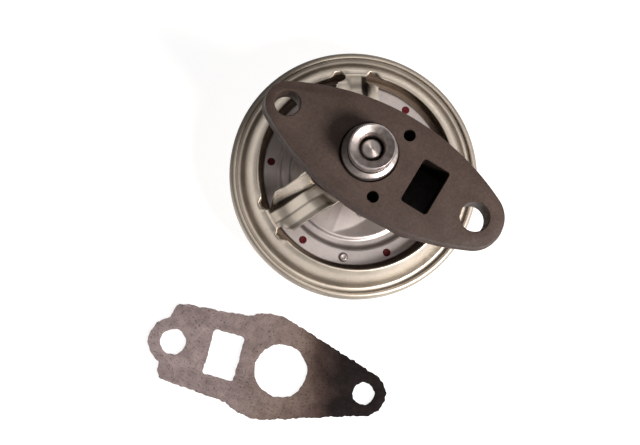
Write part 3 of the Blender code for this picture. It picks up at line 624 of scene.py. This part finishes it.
def make_seat(material):
    """Pressed-in seat: flange with a broad chamfer, undercut neck and a countersunk ring."""
    bottom, top = (corner.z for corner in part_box("valve_seat"))
    flange_top = BASE_FACE_Z + 3.4 * MM
    ring_bottom = flange_top + 2 * MM
    profile = above(top, [(4.3, -3.9), (4.9, -2.0), (5.3, -1.45), (7.4, -0.15), (7.75, 0), (8.25, -0.6)])
    profile += above(ring_bottom, [(8.25, 0), (7.2, -0.6)])
    profile += above(flange_top, [(7.2, -0.2), (7.9, -0.3), (8.3, 0), (9.9, -0.75), (10.2, -1.2)])
    profile += above(bottom, [(10.2, 0), (7, 0), (4.3, 3.4)])
    # The seat's steel is darkened by painted shade in its neck and mouth, and by a painted shadow on one
    # side of the flange.
    mesh = shaded(lathe("seat_ring", rounded(profile, 0.22 * MM), ROUND_STEPS), seat_painted_shade)
    show("seat_ring", mesh, "valve_body", material, ["valve_seat"])


def seat_painted_shade(point):
    """Painted shade in the neck and in the bore's mouth, a painted shadow on one side of the flange, and
    faint painted shade on the opposite side of the ring.
    """
    radius = math.hypot(point.x, point.y)
    angle = math.degrees(math.atan2(point.y, point.x)) % 360
    low = point.z < BASE_FACE_Z + 4 * MM
    neck = 0.75 * ease((8.7 * MM - radius) / (0.8 * MM)) if low else 0.0
    flange_shadow = 0.85 * stripe(angle, 180, 115) if low else 0.25 * stripe(angle, 40, 90)
    mouth = 0.9 * ease((5.0 * MM - radius) / (0.5 * MM))
    return max(neck, flange_shadow, mouth)


def make_pintle(material):
    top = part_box("pintle")[1].z
    ledge = BASE_FACE_Z - 5 * MM
    profile = above(top, [(0, 0), (1.6, -0.02), (3.1, -0.1), (3.6, -0.6)])
    profile += above(ledge, [(4, 3.7), (6.6, -0.2), (6.6, -1.2), (3.6, -3.2), (3.6, -5.2), (0, -5.2)])
    mesh = spun("pintle_plug", profile, 0.3 * MM, SMALL_STEPS * 2)
    show("pintle_plug", mesh, "stem_assembly", material, ["pintle"])


def make_cover(material):
    """Pressed cup with a crimped rim. The lip's edge is left as sheared."""
    outside = [
        (0, 0), (20, 0), (24, 0), (28.4, 1.1), (31, 4), (32.8, 10.8), (35, 13.2), (42.6, 19.2),
    ]
    rim = RIM_RADIUS / MM
    lip = 46
    crimp = [
        (rim - 0.05, -1.6), (rim - 0.5, -0.5), (rim - 1.3, 0), (lip + 0.3, -0.1),
        (lip, -0.4), (lip, -1.3), (rim - 1, -1.3),
    ]
    inside = [(42.3, 20.2), (34.4, 14), (31.9, 11.2), (30.1, 4.4), (27.9, 2), (24, 1), (0, 1)]
    profile = above(0, outside)
    profile += above(RIM_BOTTOM_Z, [(44, 0), (rim - 0.9, 0), (rim, 0.9)])
    profile += above(RIM_TOP_Z, crimp)
    profile += above(RIM_BOTTOM_Z, [(rim - 1, 1), (43.8, 1)])
    profile += above(0, inside)
    mesh = spun("cover_pressing", profile, 0.7 * MM, 180)
    hole = drill("nipple_hole", 3.2 * MM, 20 * MM, 40 * MM)
    hole.transform(nipple_matrix())
    # Painted shade under the lip and on the outer wall, darkest on one side.
    mesh = shaded(combine(mesh, [hole]), cover_painted_shade)
    show("cover_pressing", mesh, "valve_body", material, ["cover"])


def cover_painted_shade(point):
    """Painted shade: a dark line under the sheared lip, and the outer wall painted darker, most on one
    side.
    """
    radius = math.hypot(point.x, point.y)
    line = 0.8 * stripe(radius, 46.0 * MM, 0.5 * MM)
    angle = math.degrees(math.atan2(point.y, point.x)) % 360
    shadow_side = stripe(angle, 165, 100)
    wall = 0.15 + 0.5 * shadow_side + (0.2 + 0.2 * shadow_side) * ease((radius - 47.2 * MM) / (0.9 * MM))
    return max(line, wall * ease((radius - 45.5 * MM) / MM))


def nipple_matrix():
    outwards = Matrix.Rotation(math.radians(150), 4, "Z") @ Matrix.Rotation(math.pi / 2, 4, "Y")
    return Matrix.Translation((0, 0, 7.6 * MM)) @ outwards


def make_nipple(material):
    profile = above(0, [(1.6, 28.5), (2.9, 28.5)])
    profile += above(33.7 * MM, [(2.9, 0), (4.2, 0), (4.2, 1.4), (2.4, 1.8)])
    profile += above(47 * MM, [(2.4, -4), (2.9, -3.2), (2.9, -2.4), (2.3, 0), (1.6, 0)])
    mesh = lathe("nipple_tube", rounded(profile, 0.2 * MM), SMALL_STEPS)
    mesh.transform(nipple_matrix())
    show("nipple_tube", mesh, "valve_body", material, ["vacuum_nipple"])


SPOKE_ANGLES = (0, 120, 240)
SPOKE_COLUMNS = 44
SPOKE_ROWS = 44
WINDOW_COLUMNS = 56
WINDOW_RADIUS = 37.6 * MM
WINDOW_ARC = math.radians(108)
BOWL_TOP_Z = FLANGE_TOP_Z + 8 * MM
HUB_CENTRE_X = 4.5 * MM
HUB_RADIUS = 16.6 * MM
HUB_HOLE_RADIUS = 8 * MM
SPIDER_LINE = rounded(
    above(HUB_TOP_Z, [(7, 0), (20, 0), (23.5, -1.2), (27, -6), (31, -12.2)])
    + above(FLANGE_TOP_Z, [(33.6, 8.4), (37.6, 8), (39.8, 6.6)]),
    2.5 * MM,
    closed=False,
    steps=6,
)


def sheet_height(radius):
    """Height of the pressed sheet's upper face at a radius: level hub, steep spokes, bowl."""
    for inner, outer in zip(SPIDER_LINE, SPIDER_LINE[1:]):
        if radius <= outer[0]:
            share = (radius - inner[0]) / max(outer[0] - inner[0], 1e-9)
            return inner[1] + share * (outer[1] - inner[1])
    return SPIDER_LINE[-1][1]


def spoke_across(side, radius):
    """Distance from a spoke's middle line. side is -1 to 1; the spoke narrows to a neck at the bowl."""
    if side > 0:
        return side * (8.2 * MM - 3.4 * MM * ease((radius - 34.2 * MM) / (2.4 * MM)))
    return side * (6.3 * MM - 3.1 * MM * ease((radius - 32.8 * MM) / (2.6 * MM)))


def fold_across(radius):
    """The fold under the clockwise side wall moves away from the spoke's middle towards the bowl."""
    return -(2.0 + 2.0 * ease((radius - 20 * MM) / (13 * MM))) * MM


def spoke_relief(across, radius, angle):
    """Side walls leaning outwards and a sharp fold under the clockwise one, fading at both ends."""
    start = 21.5 * MM if angle == 0 else 17.5 * MM
    fade = ease((radius - start) / (2.5 * MM)) * ease((36.2 * MM - radius) / (2 * MM))
    fold = fold_across(radius)
    clockwise = 4.6 * MM * max(0.0, (fold - across) / (fold + 6.3 * MM))
    groove = 0.9 * MM * stripe(across, fold + 0.5 * MM, 1.3 * MM)
    counter = 0.75 * max(0.0, across - 3.0 * MM)
    return fade * (clockwise - groove + counter)


def hub_reach(angle, across):
    """Radius at which a line along a spoke, or a ray from the axis, meets the hub's round outline."""
    a = math.radians(angle)
    offset = across + math.sin(a) * HUB_CENTRE_X
    reach = math.cos(a) * HUB_CENTRE_X + math.sqrt(HUB_RADIUS**2 - offset**2)
    return math.hypot(reach, across)


def bowl_rows():
    """The ring outside the windows, as (radius, z) from the windows' edge to under the crimped lip."""
    line = above(BOWL_TOP_Z, [(37.6, -0.15), (38.3, 0)])
    line += above(FLANGE_TOP_Z, [(40, 6.5), (41.7, 3.8), (43.1, 1.3), (44.1, 0.1), (44.9, 0)])
    line += [(CLAMPED_RADIUS, FLANGE_TOP_Z)]
    return [tuple(p) for p in rounded(line, 1.2 * MM, closed=False, steps=5)]


def column_angles():
    """For each column: spoke angle, side of the spoke or None, and share of the way over the window."""
    columns = []
    for angle in SPOKE_ANGLES:
        for i in range(SPOKE_COLUMNS + 1):
            columns.append((angle, 2 * i / SPOKE_COLUMNS - 1, 0))
        for i in range(1, WINDOW_COLUMNS):
            columns.append((angle, None, i / WINDOW_COLUMNS))
    return columns


def column_angle(column, radius):
    """The column's direction at a radius, in radians."""
    angle, side, share = column
    if side is not None:
        return math.radians(angle) + math.asin(spoke_across(side, radius) / radius)
    start = math.asin(spoke_across(1, radius) / radius)
    end = math.radians(120) + math.asin(spoke_across(-1, radius) / radius)
    return math.radians(angle) + start + share * (end - start)


def window_edge(share, radius):
    """How far the bowl's edge opens outwards beside a spoke, and how far it curls up beyond that."""
    from_spoke = min(share, 1 - share) * WINDOW_ARC * WINDOW_RADIUS
    beyond = radius - WINDOW_RADIUS
    opens = ease(from_spoke / (0.7 * MM)) * (1 - ease((from_spoke - 4.2 * MM) / (1.4 * MM)))
    curls = stripe(from_spoke, 6 * MM, 1.8 * MM)
    notch = 1.9 * MM * (1 - ease(beyond / (2.6 * MM))) * opens
    return notch, 0.3 * MM * (1 - ease(beyond / (2.2 * MM))) * curls


def make_lower_housing(material):
    """One pressed sheet: hub, three channelled spokes, bowl and flange."""
    shape = bmesh.new()
    columns = column_angles()
    hub_edges = []
    for angle, side, share in columns:
        if side is None:
            start = hub_edge_angle(angle, 1)
            end = hub_edge_angle(angle + 120, -1)
            direction = start + share * ((end - start) % (2 * math.pi))
            edge = hub_reach(math.degrees(direction), 0)
        else:
            direction = hub_edge_angle(angle, side)
            edge = hub_reach(angle, spoke_across(side, 20 * MM))
        hub_edges.append((direction, edge))
    rows = []
    hub_rows = 8
    for row in range(hub_rows + 1):
        ring = []
        for direction, edge in hub_edges:
            radius = HUB_HOLE_RADIUS + (edge - HUB_HOLE_RADIUS) * row / hub_rows
            z = sheet_height(radius) - 0.3 * MM * (row == 0)
            ring.append(shape.verts.new(around(radius, direction, z)))
        rows.append(ring)
    for step in range(1, SPOKE_ROWS):
        ring = []
        for column, (_, edge) in zip(columns, hub_edges):
            if column[1] is None:
                ring.append(None)
                continue
            radius = edge + (WINDOW_RADIUS - edge) * step / SPOKE_ROWS
            relief = spoke_relief(spoke_across(column[1], radius), radius, column[0])
            z = sheet_height(radius) + relief
            if column[0] == 0:
                z = min(z, HUB_TOP_Z + 0.4 * MM)
            ring.append(shape.verts.new(around(radius, column_angle(column, radius), z)))
        rows.append(ring)
    for radius, z in bowl_rows():
        ring = []
        for column in columns:
            a = column_angle(column, WINDOW_RADIUS)
            out, up = radius, z
            if column[1] is None:
                notch, curl = window_edge(column[2], radius)
                out, up = radius + notch, z + curl
            ring.append(shape.verts.new(around(out, a, up)))
        rows.append(ring)
    count = len(columns)
    for number, (inner, outer) in enumerate(zip(rows, rows[1:])):
        for i in range(count):
            k = (i + 1) % count
            corners = (inner[i], outer[i], outer[k], inner[k])
            crosses_window = columns[i][1] is None or columns[k][1] is None
            in_spokes = hub_rows <= number < hub_rows + SPOKE_ROWS
            if not (crosses_window and in_spokes):
                shape.faces.new(corners)
    mesh = sheet_metal("housing_spider", shape, SHEET, 0.2 * MM)
    cuts = [drill("hub_hole", SCREW_HOLE_RADIUS, 50 * MM, 40 * MM, at) for at in SCREW_PLACES]
    # The housing's plating is darkened by painted shade along the spokes, at the windows and at the
    # bowl's foot.
    mesh = shaded(combine(mesh, cuts), housing_painted_shade)
    show("housing_spider", mesh, "valve_body", material, ["lower_housing"])


def housing_painted_shade(point):
    """Painted shade: folds and counter-clockwise sides of the spokes, the windows' edges, patches beside
    the spokes at the bowl, and a line at the bowl's foot.
    """
    radius = math.hypot(point.x, point.y)
    amount = 0.9 * stripe(radius, 45.6 * MM, 0.9 * MM)
    in_spoke = False
    for angle in SPOKE_ANGLES:
        a = math.radians(angle)
        along = point.x * math.cos(a) + point.y * math.sin(a)
        across = point.y * math.cos(a) - point.x * math.sin(a)
        if along < 0 or abs(across) > 9.5 * MM:
            continue
        in_spoke = abs(across) < 5 * MM or radius < 36 * MM
        ends = ease((radius - 17 * MM) / (2 * MM)) * ease((37.8 * MM - radius) / (1 * MM))
        under = ease((across - fold_across(radius) + 0.3 * MM) / (0.6 * MM))
        fold = under * (1 - ease((across + 1.6 * MM) / (0.7 * MM)))
        # Painted shade on the counter-clockwise side is weaker on the spoke at 120 degrees.
        shaded_side = 0.1 if angle == 120 else 0.6
        counter_fold = shaded_side * stripe(across, 2.9 * MM, 0.7 * MM)
        counter_side = shaded_side * ease((across - 6.2 * MM) / (0.9 * MM))
        amount = max(amount, ends * max(fold, counter_fold, counter_side))
    beside_spoke = min(abs(math.degrees(math.atan2(point.y, point.x)) % 120 - edge) for edge in (9, 111))
    amount = max(amount, 0.55 * stripe(radius, 39 * MM, 1.6 * MM) * stripe(beside_spoke, 0, 7))
    if not in_spoke and radius > 30 * MM:
        amount = max(amount, 0.85 * ease((38.2 * MM - radius) / (0.5 * MM)))
    return amount


def hub_edge_angle(angle, side):
    """Direction, in radians, of the point where a spoke's column meets the hub's outline."""
    across = spoke_across(side, 20 * MM)
    return math.radians(angle) + math.asin(across / hub_reach(angle, across))


POCKET_ANGLES = (-32.5, 87.5, 207.5)


def plate_height(radius, angle):
    """Relief of the lower plate: band, groove, raised middle and three pockets with sloping walls."""
    groove = 1.5 * MM
    level = BAND_TOP_Z - groove * (1 - ease((radius - 27.6 * MM) / (2.2 * MM)))
    level += 0.7 * MM * ease((25.8 * MM - radius) / (1.2 * MM))
    pocket_half = math.radians(47.5)
    deepest = 0.0
    for centre in POCKET_ANGLES:
        offset = (angle - math.radians(centre) + math.pi) % (2 * math.pi) - math.pi
        side = (pocket_half - abs(offset)) * radius
        wall = min(side * 0.08, (24.2 * MM - radius) * 0.14, (radius - 9 * MM) * 0.4)
        deepest = max(deepest, min(wall, 1.5 * MM))
    edge = ease((radius - 35.1 * MM) / (0.6 * MM))
    return level - deepest - 0.3 * MM * edge


def plate_painted_shade(point):
    """Painted shade in the groove beside the band and on the band's edge, and painted shadow on one
    side, under the casting and beside a spoke there.
    """
    radius = math.hypot(point.x, point.y)
    groove = 0.55 * stripe(radius, 28.7 * MM, 1.1 * MM)
    edge = 0.4 * ease((radius - 35.0 * MM) / (0.5 * MM))
    angle = math.degrees(math.atan2(point.y, point.x)) % 360
    base_shadow = max(0.6 * stripe(angle, 178, 42), 0.75 * stripe(angle, 222, 17))
    return max(groove, edge, base_shadow)


def make_lower_plate(material):
    """One pressed sheet from the stem's hole to the band's edge, in fine rings."""
    shape = bmesh.new()
    count, ring_count = 288, 92
    inner_radius, outer_radius = 2.8 * MM, 35.6 * MM
    rings = []
    for j in range(ring_count + 1):
        radius = inner_radius + (outer_radius - inner_radius) * j / ring_count
        ring = []
        for i in range(count):
            a = 2 * math.pi * i / count
            ring.append(shape.verts.new(around(radius, a, plate_height(radius, a))))
        rings.append(ring)
    for inner, outer in zip(rings, rings[1:]):
        for i in range(count):
            k = (i + 1) % count
            shape.faces.new((inner[i], outer[i], outer[k], inner[k]))
    # The plate is darkened by painted shade in its groove and at its edge, and by painted shadow on one
    # side.
    mesh = shaded(sheet_metal("plate_pressing", shape, 0.9 * MM, 0.15 * MM), plate_painted_shade)
    show("plate_pressing", mesh, "stem_assembly", material, ["lower_plate"])


def make_diaphragm(material):
    """The convoluted rubber ring, built in sectors."""
    top = PLATE_HIGH.z - 1.3 * MM
    bottom = top - 1.2 * MM
    bead_top = RUBBER_LOW.z + 1.5 * MM
    line = above(top, [(30.2, 0), (36, 0), (37.3, 0.9), (38.6, -0.1)])
    line += above(bead_top, [(40.4, 0.9), (42.2, 0)])
    line += [(CLAMPED_RADIUS, bead_top), (CLAMPED_RADIUS, RUBBER_LOW.z)]
    line += above(RUBBER_LOW.z, [(43.6, 0), (42, 0.2)])
    line += above(bead_top, [(40, -0.4)])
    line += above(bottom, [(38.3, -0.1), (37.3, 0.8), (36, 0), (30.2, 0)])
    profile = rounded(line, 0.7 * MM)
    sectors = 24
    sweep = 2 * math.pi / sectors
    for i in range(sectors):
        name = f"diaphragm_sector_{i + 1:02d}"
        mesh = lathe(name, profile, 6, start=i * sweep, sweep=sweep)
        mesh.materials.append(material)
        sector = linked(name, mesh)
        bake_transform(sector)
        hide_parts("diaphragm")


def on_circle(mesh, angle):
    mesh.transform(Matrix.Translation(around(FASTENER_CIRCLE, math.radians(angle))))
    return mesh


def make_pips(material):
    """Domed rubber pips, each with a slightly sunk middle."""
    head = BAND_TOP_Z + 0.25 * MM
    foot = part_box("pip_1")[0].z
    profile = above(head, [(0, -0.15), (0.7, -0.1), (1.15, 0), (1.6, -0.3)])
    profile += above(foot, [(1.6, 0), (0, 0)])
    for number, angle in enumerate(PIP_ANGLES, start=1):
        mesh = spun(f"red_pip_{number}", profile, 0.15 * MM, 32)
        on_circle(mesh, angle)
        show(mesh.name, mesh, "stem_assembly", material, [f"pip_{number}"])


def make_rivets(material):
    top = BAND_TOP_Z + 0.02 * MM
    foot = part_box("plate_rivet_1")[0].z
    profile = above(top, [(0, 0.55), (0.45, 0.5), (0.6, 0.8), (1.2, 0.85), (1.8, 0.35), (1.8, 0)])
    profile += [(1.1 * MM, top)] + above(foot, [(1.1, 0.7), (1.8, 0.7), (1.5, 0.1), (0, 0.1)])
    for number, angle in enumerate(RIVET_ANGLES, start=1):
        mesh = spun(f"tubular_rivet_{number}", profile, 0.12 * MM, 32)
        on_circle(mesh, angle)
        show(mesh.name, mesh, "stem_assembly", material, [f"plate_rivet_{number}"])


def make_shield(material):
    """Thin sheet in the hub's outline, between the casting and the housing."""
    low, high = (corner.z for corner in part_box("heat_shield"))
    edge = 0.2 * MM
    levels = ((high, -edge), (high - edge, 0), (low + edge, 0), (low, -edge))
    mesh = loft(
        "shield_sheet",
        [(z, circle((HUB_CENTRE_X, 0), HUB_RADIUS + grow, ROUND_STEPS)) for z, grow in levels],
    )
    cuts = [drill("shield_hole", HUB_HOLE_RADIUS, high + MM, low - MM)]
    for at in reversed(SCREW_PLACES):
        cuts.append(drill("shield_hole", SCREW_HOLE_RADIUS, high + MM, low - MM, at))
    show("shield_sheet", combine(mesh, cuts), "valve_body", material, ["heat_shield"])


def hexagon(name, levels):
    """A six-sided prism, from the top down: heights, each with its corners' radius in millimetres."""
    return loft(name, [(z, circle((0, 0), radius * MM, 6)) for z, radius in levels])


def make_screws(material):
    """Hexagon flange-head screws, heads down under the hub."""
    head_top = HUB_TOP_Z - SHEET - 0.3 * MM
    for number, place in enumerate(SCREW_PLACES, start=1):
        node = f"housing_screw_{number}"
        low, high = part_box(node)
        shank = above(high.z, [(0, 0), (1.4, 0), (1.8, -0.5)])
        shank += above(head_top, [(1.8, 0), (3.8, 0), (3.8, -0.8), (2.6, -1.1), (2.6, -1.5), (0, -1.5)])
        mesh = spun(f"flange_screw_{number}", shank, 0.2 * MM)
        head = hexagon("head", [(head_top - 0.7 * MM, 3.1), (low.z + 0.35 * MM, 3.1), (low.z, 2.7)])
        mesh = combine(mesh, joined=[head])
        mesh.transform(Matrix.Translation((*place, 0)))
        show(mesh.name, mesh, "valve_body", material, [node])


def refine_ring(name, node, body, material, edge=0.25 * MM):
    """A plain turned ring, rebuilt smooth with rounded edges from its node's box and inner radius."""
    low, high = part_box(node)
    points = [v.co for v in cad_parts[node].data.vertices]
    inner = min(math.hypot(p.x, p.y) for p in points)
    profile = [(inner, high.z), (high.x, high.z), (high.x, low.z), (inner, low.z)]
    mesh = lathe(name, rounded(profile, edge), SMALL_STEPS * 2)
    show(name, mesh, body, material, [node])


def make_inner_pieces(turned, bronze, rubber, plated):
    refine_ring("guide_bushing", "stem_bushing", "valve_body", bronze)
    refine_ring("shaft_seal", "stem_seal", "valve_body", rubber)
    refine_ring("shoulder_collar", "stem_collar", "stem_assembly", turned, 0.5 * MM)
    refine_ring("flat_washer", "stem_washer", "stem_assembly", turned)
    low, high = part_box("valve_stem")
    chamfer = 0.5 * MM
    stem = [(0, high.z), (high.x, high.z), (high.x, low.z + chamfer)]
    stem += [(high.x - chamfer, low.z), (0, low.z)]
    mesh = spun("stem_rod", stem, 0.2 * MM)
    show("stem_rod", mesh, "stem_assembly", turned, ["valve_stem"])
    low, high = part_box("seal_retainer")
    brim = HUB_TOP_Z - SHEET - 0.3 * MM
    cup = above(high.z, [(6.5, 0), (7.5, 0)])
    cup += above(brim, [(7.5, 0), (11, 0), (11, -1), (7.5, -1)])
    cup += above(low.z, [(7.5, 0), (3.2, 0), (3.2, 1), (6.5, 1)])
    mesh = lathe("retainer_cup", rounded(cup, 0.3 * MM), SMALL_STEPS * 2)
    show("retainer_cup", mesh, "valve_body", plated, ["seal_retainer"])
    low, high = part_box("stem_nut")
    chamfer = 0.4 * MM
    levels = [(high.z, 4.2), (high.z - chamfer, 4.6), (low.z + chamfer, 4.6), (low.z, 4.2)]
    nut = hexagon("hex_nut", levels)
    nut = combine(nut, [drill("nut_bore", 2.75 * MM, high.z + MM, low.z - MM)])
    show("hex_nut", nut, "stem_assembly", turned, ["stem_nut"])
    low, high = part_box("upper_plate")
    upper = above(low.z, [(2.8, 1), (23.6, 1)])
    upper += above(high.z, [(25.2, 0), (35, 0), (35, -1), (25.6, -1)])
    upper += above(low.z, [(24, 0), (2.8, 0)])
    mesh = lathe("spring_plate", rounded(upper, 0.4 * MM), ROUND_STEPS)
    show("spring_plate", mesh, "stem_assembly", plated, ["upper_plate"])


def make_spring(material):
    """Round wire with closed end turns."""
    low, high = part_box("return_spring")
    wire = 1.1 * MM
    radius = 17 * MM
    turns, steps, sides = 5, 48, 12
    foot, head = low.z + wire, high.z - wire
    rise = 2.3 * wire
    shape = bmesh.new()
    rings = []
    for i in range(turns * steps + 1):
        turn = i / steps
        if turn < 1:
            z = foot + rise * turn**2
        elif turn > turns - 1:
            z = head - rise * (turns - turn) ** 2
        else:
            z = foot + rise + (turn - 1) / (turns - 2) * (head - foot - 2 * rise)
        a = 2 * math.pi * turn
        ring = []
        for k in range(sides):
            b = 2 * math.pi * k / sides
            out = radius + wire * math.cos(b)
            ring.append(shape.verts.new(around(out, a, z + wire * math.sin(b))))
        rings.append(ring)
    skin(shape, rings)
    shape.faces.new(list(reversed(rings[0])))
    shape.faces.new(rings[-1])
    mesh = smooth(outward(shape, "spring_coil"))
    spring = show("spring_coil", mesh, "valve_body", material, ["return_spring"])
    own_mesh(spring)


def gasket_outline():
    """The gasket's half outline, port lobe to far lobe, and its mirror image."""
    far_lobe, bulge, bulge_x = 8.8 * MM, 20.9 * MM, 37 * MM
    spread = math.degrees(math.asin((bulge - far_lobe) / (BOLT_SPACING - bulge_x)))
    half = arc((0, 0), 9.8 * MM, 180, 112, 20)
    half += [(-3 * MM, 12.6 * MM), (-1.6 * MM, 14.8 * MM), (1 * MM, 15.6 * MM), (26 * MM, 17.5 * MM)]
    half += arc((bulge_x, 0), bulge, 110, 90 - spread, 16)
    half += arc((BOLT_SPACING, 0), far_lobe, 90 - spread, 0, 20)
    return half + [(x, -y) for x, y in reversed(half[1:-1])]


def evenly(outline, spacing):
    """The closed outline with points at an even spacing."""
    points = [Vector(p) for p in outline]
    result = []
    for start, end in zip(points, points[1:] + points[:1]):
        pieces = max(1, round((end - start).length / spacing))
        result += [start.lerp(end, i / pieces) for i in range(pieces)]
    return result


def ragged(outline, amount, seed):
    """Moves each point in or out a little: a die-cut fibre edge isn't clean."""
    points = evenly(outline, 0.5 * MM)
    result = []
    for i, point in enumerate(points):
        along = (points[(i + 1) % len(points)] - points[i - 1]).normalized()
        where = Vector((point.x * 700, point.y * 700, seed))
        shift = amount * (noise.noise(where) + 0.6 * noise.noise(where * 0.35))
        result.append((point.x + along.y * shift, point.y - along.x * shift))
    return result


def flat_mesh(name, outlines, thickness, edge):
    """A flat sheet with holes, with its edges rounded, from z = 0 up."""
    curve = bpy.data.curves.new(name, "CURVE")
    curve.dimensions = "2D"
    curve.fill_mode = "BOTH"
    curve.extrude = thickness / 2 - edge
    curve.bevel_depth = edge
    curve.bevel_resolution = 1
    curve.offset = -edge
    for outline in outlines:
        spline = curve.splines.new("POLY")
        spline.points.add(len(outline) - 1)
        for point, (x, y) in zip(spline.points, outline):
            point.co = (x, y, 0, 1)
        spline.use_cyclic_u = True
    source = linked(name, curve)
    graph = bpy.context.evaluated_depsgraph_get()
    mesh = bpy.data.meshes.new_from_object(source.evaluated_get(graph))
    bpy.data.objects.remove(source, do_unlink=True)
    shape = bmesh.new()
    shape.from_mesh(mesh)
    bmesh.ops.remove_doubles(shape, verts=shape.verts, dist=0.000002)
    bmesh.ops.translate(shape, verts=shape.verts, vec=(0, 0, thickness / 2))
    return smooth(outward(shape, name))


def make_gasket(material):
    holes = (
        circle((0, 0), 5 * MM, 48),
        circle((BOLT_SPACING, 0), 4.4 * MM, 48),
        circle((PORT_BOLT_X, 0), 10.4 * MM, 96),
        round_rectangle((PORT_BOLT_X - PORT_X, 0), 12.4 * MM, 17.9 * MM, 1.2 * MM),
    )
    outlines = [ragged(gasket_outline(), 0.5 * MM, 3.1)]
    outlines += [ragged(hole, 0.4 * MM, 7.7 + i) for i, hole in enumerate(holes)]
    mesh = flat_mesh("gasket_sheet", outlines, 1.5 * MM, 0.15 * MM)
    mesh.transform(Matrix.Translation(GASKET_PLACE) @ Matrix.Rotation(GASKET_TURN, 4, "Z"))
    show("gasket_sheet", mesh, "gasket", material, ["gasket"])


# ---------------------------------------------------------------- stage


def make_floor():
    mesh = bpy.data.meshes.new("floor")
    shape = bmesh.new()
    bmesh.ops.create_grid(shape, x_segments=2, y_segments=2, size=3)
    shape.to_mesh(mesh)
    shape.free()
    floor = linked("floor", mesh)
    floor.location.z = -0.2 * MM
    n = Nodes("pale_floor")
    n.shader.inputs["Emission Color"].default_value = (1, 1, 1, 1)
    n.shader.inputs["Emission Strength"].default_value = 0.85
    mesh.materials.append(n.finish((0.4, 0.4, 0.4), 0.9, None, 0.0, 0.1))


def add_light(name, place, aim, size, power, colour=(1, 1, 1)):
    data = bpy.data.lights.new(name, "AREA")
    data.shape = "RECTANGLE"
    data.size, data.size_y = size
    data.energy = power
    data.color = colour
    light = linked(name, data)
    light.location = place
    light.rotation_mode = "QUATERNION"
    light.rotation_quaternion = (Vector(aim) - Vector(place)).to_track_quat("-Z", "Y")


def make_lights():
    aim = (0, -0.02, 0.04)
    add_light("key", (0.51, -0.10, 0.58), aim, (0.22, 0.22), 7.4, (1, 0.97, 0.93))
    add_light("overhead", (0, 0.18, 0.92), aim, (0.7, 0.7), 0.75, (1, 0.96, 0.94))
    add_light("side", (0.75, 0.35, 0.35), aim, (0.7, 0.5), 0.6)
    world = bpy.data.worlds.new("studio")
    bpy.context.scene.world = world
    world.use_nodes = True
    background = world.node_tree.nodes["Background"]
    background.inputs["Color"].default_value = (1, 0.97, 0.94, 1)
    background.inputs["Strength"].default_value = 0.2


def make_camera():
    """Looks down at the base face, tipped so that the base sits up and to the right of the rim."""
    data = bpy.data.cameras.new("camera")
    data.sensor_width = 36
    data.lens = 80.7
    camera = linked("camera", data)
    right = Vector((0.854, 0.512, 0.089)).normalized()
    backward = Vector((-0.004, -0.164, 0.986))
    backward = (backward - right * backward.dot(right)).normalized()
    up = backward.cross(right)
    turn = Matrix((right, up, backward)).transposed().to_4x4()
    camera.matrix_world = Matrix.Translation((-0.0042, -0.1139, 0.5697)) @ turn
    bpy.context.scene.camera = camera
    bpy.context.scene.view_settings.view_transform = "Standard"


def main():
    plated = plated_steel_material()
    turned = turned_steel_material()
    rubber = plain_material("diaphragm_rubber", *RUBBER)
    make_camera()
    make_base_casting(cast_iron_material())
    make_seat(turned)
    make_pintle(turned_steel_material("brushed_steel", 0.8))
    make_cover(plated)
    make_nipple(plated)
    make_lower_housing(plated)
    make_lower_plate(plated_steel_material("plate_steel", (0.68, 0.61, 0.595), (0.58, 0.52, 0.505)))
    make_diaphragm(rubber)
    make_pips(plain_material("red_silicone", *SILICONE))
    make_rivets(turned)
    make_shield(plated)
    make_screws(turned)
    make_inner_pieces(turned, plain_material("bushing_bronze", *BRONZE), rubber, plated)
    make_spring(plain_material("spring_steel", *SPRING_STEEL))
    make_gasket(gasket_material(*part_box("gasket")))
    make_floor()
    make_lights()


main()
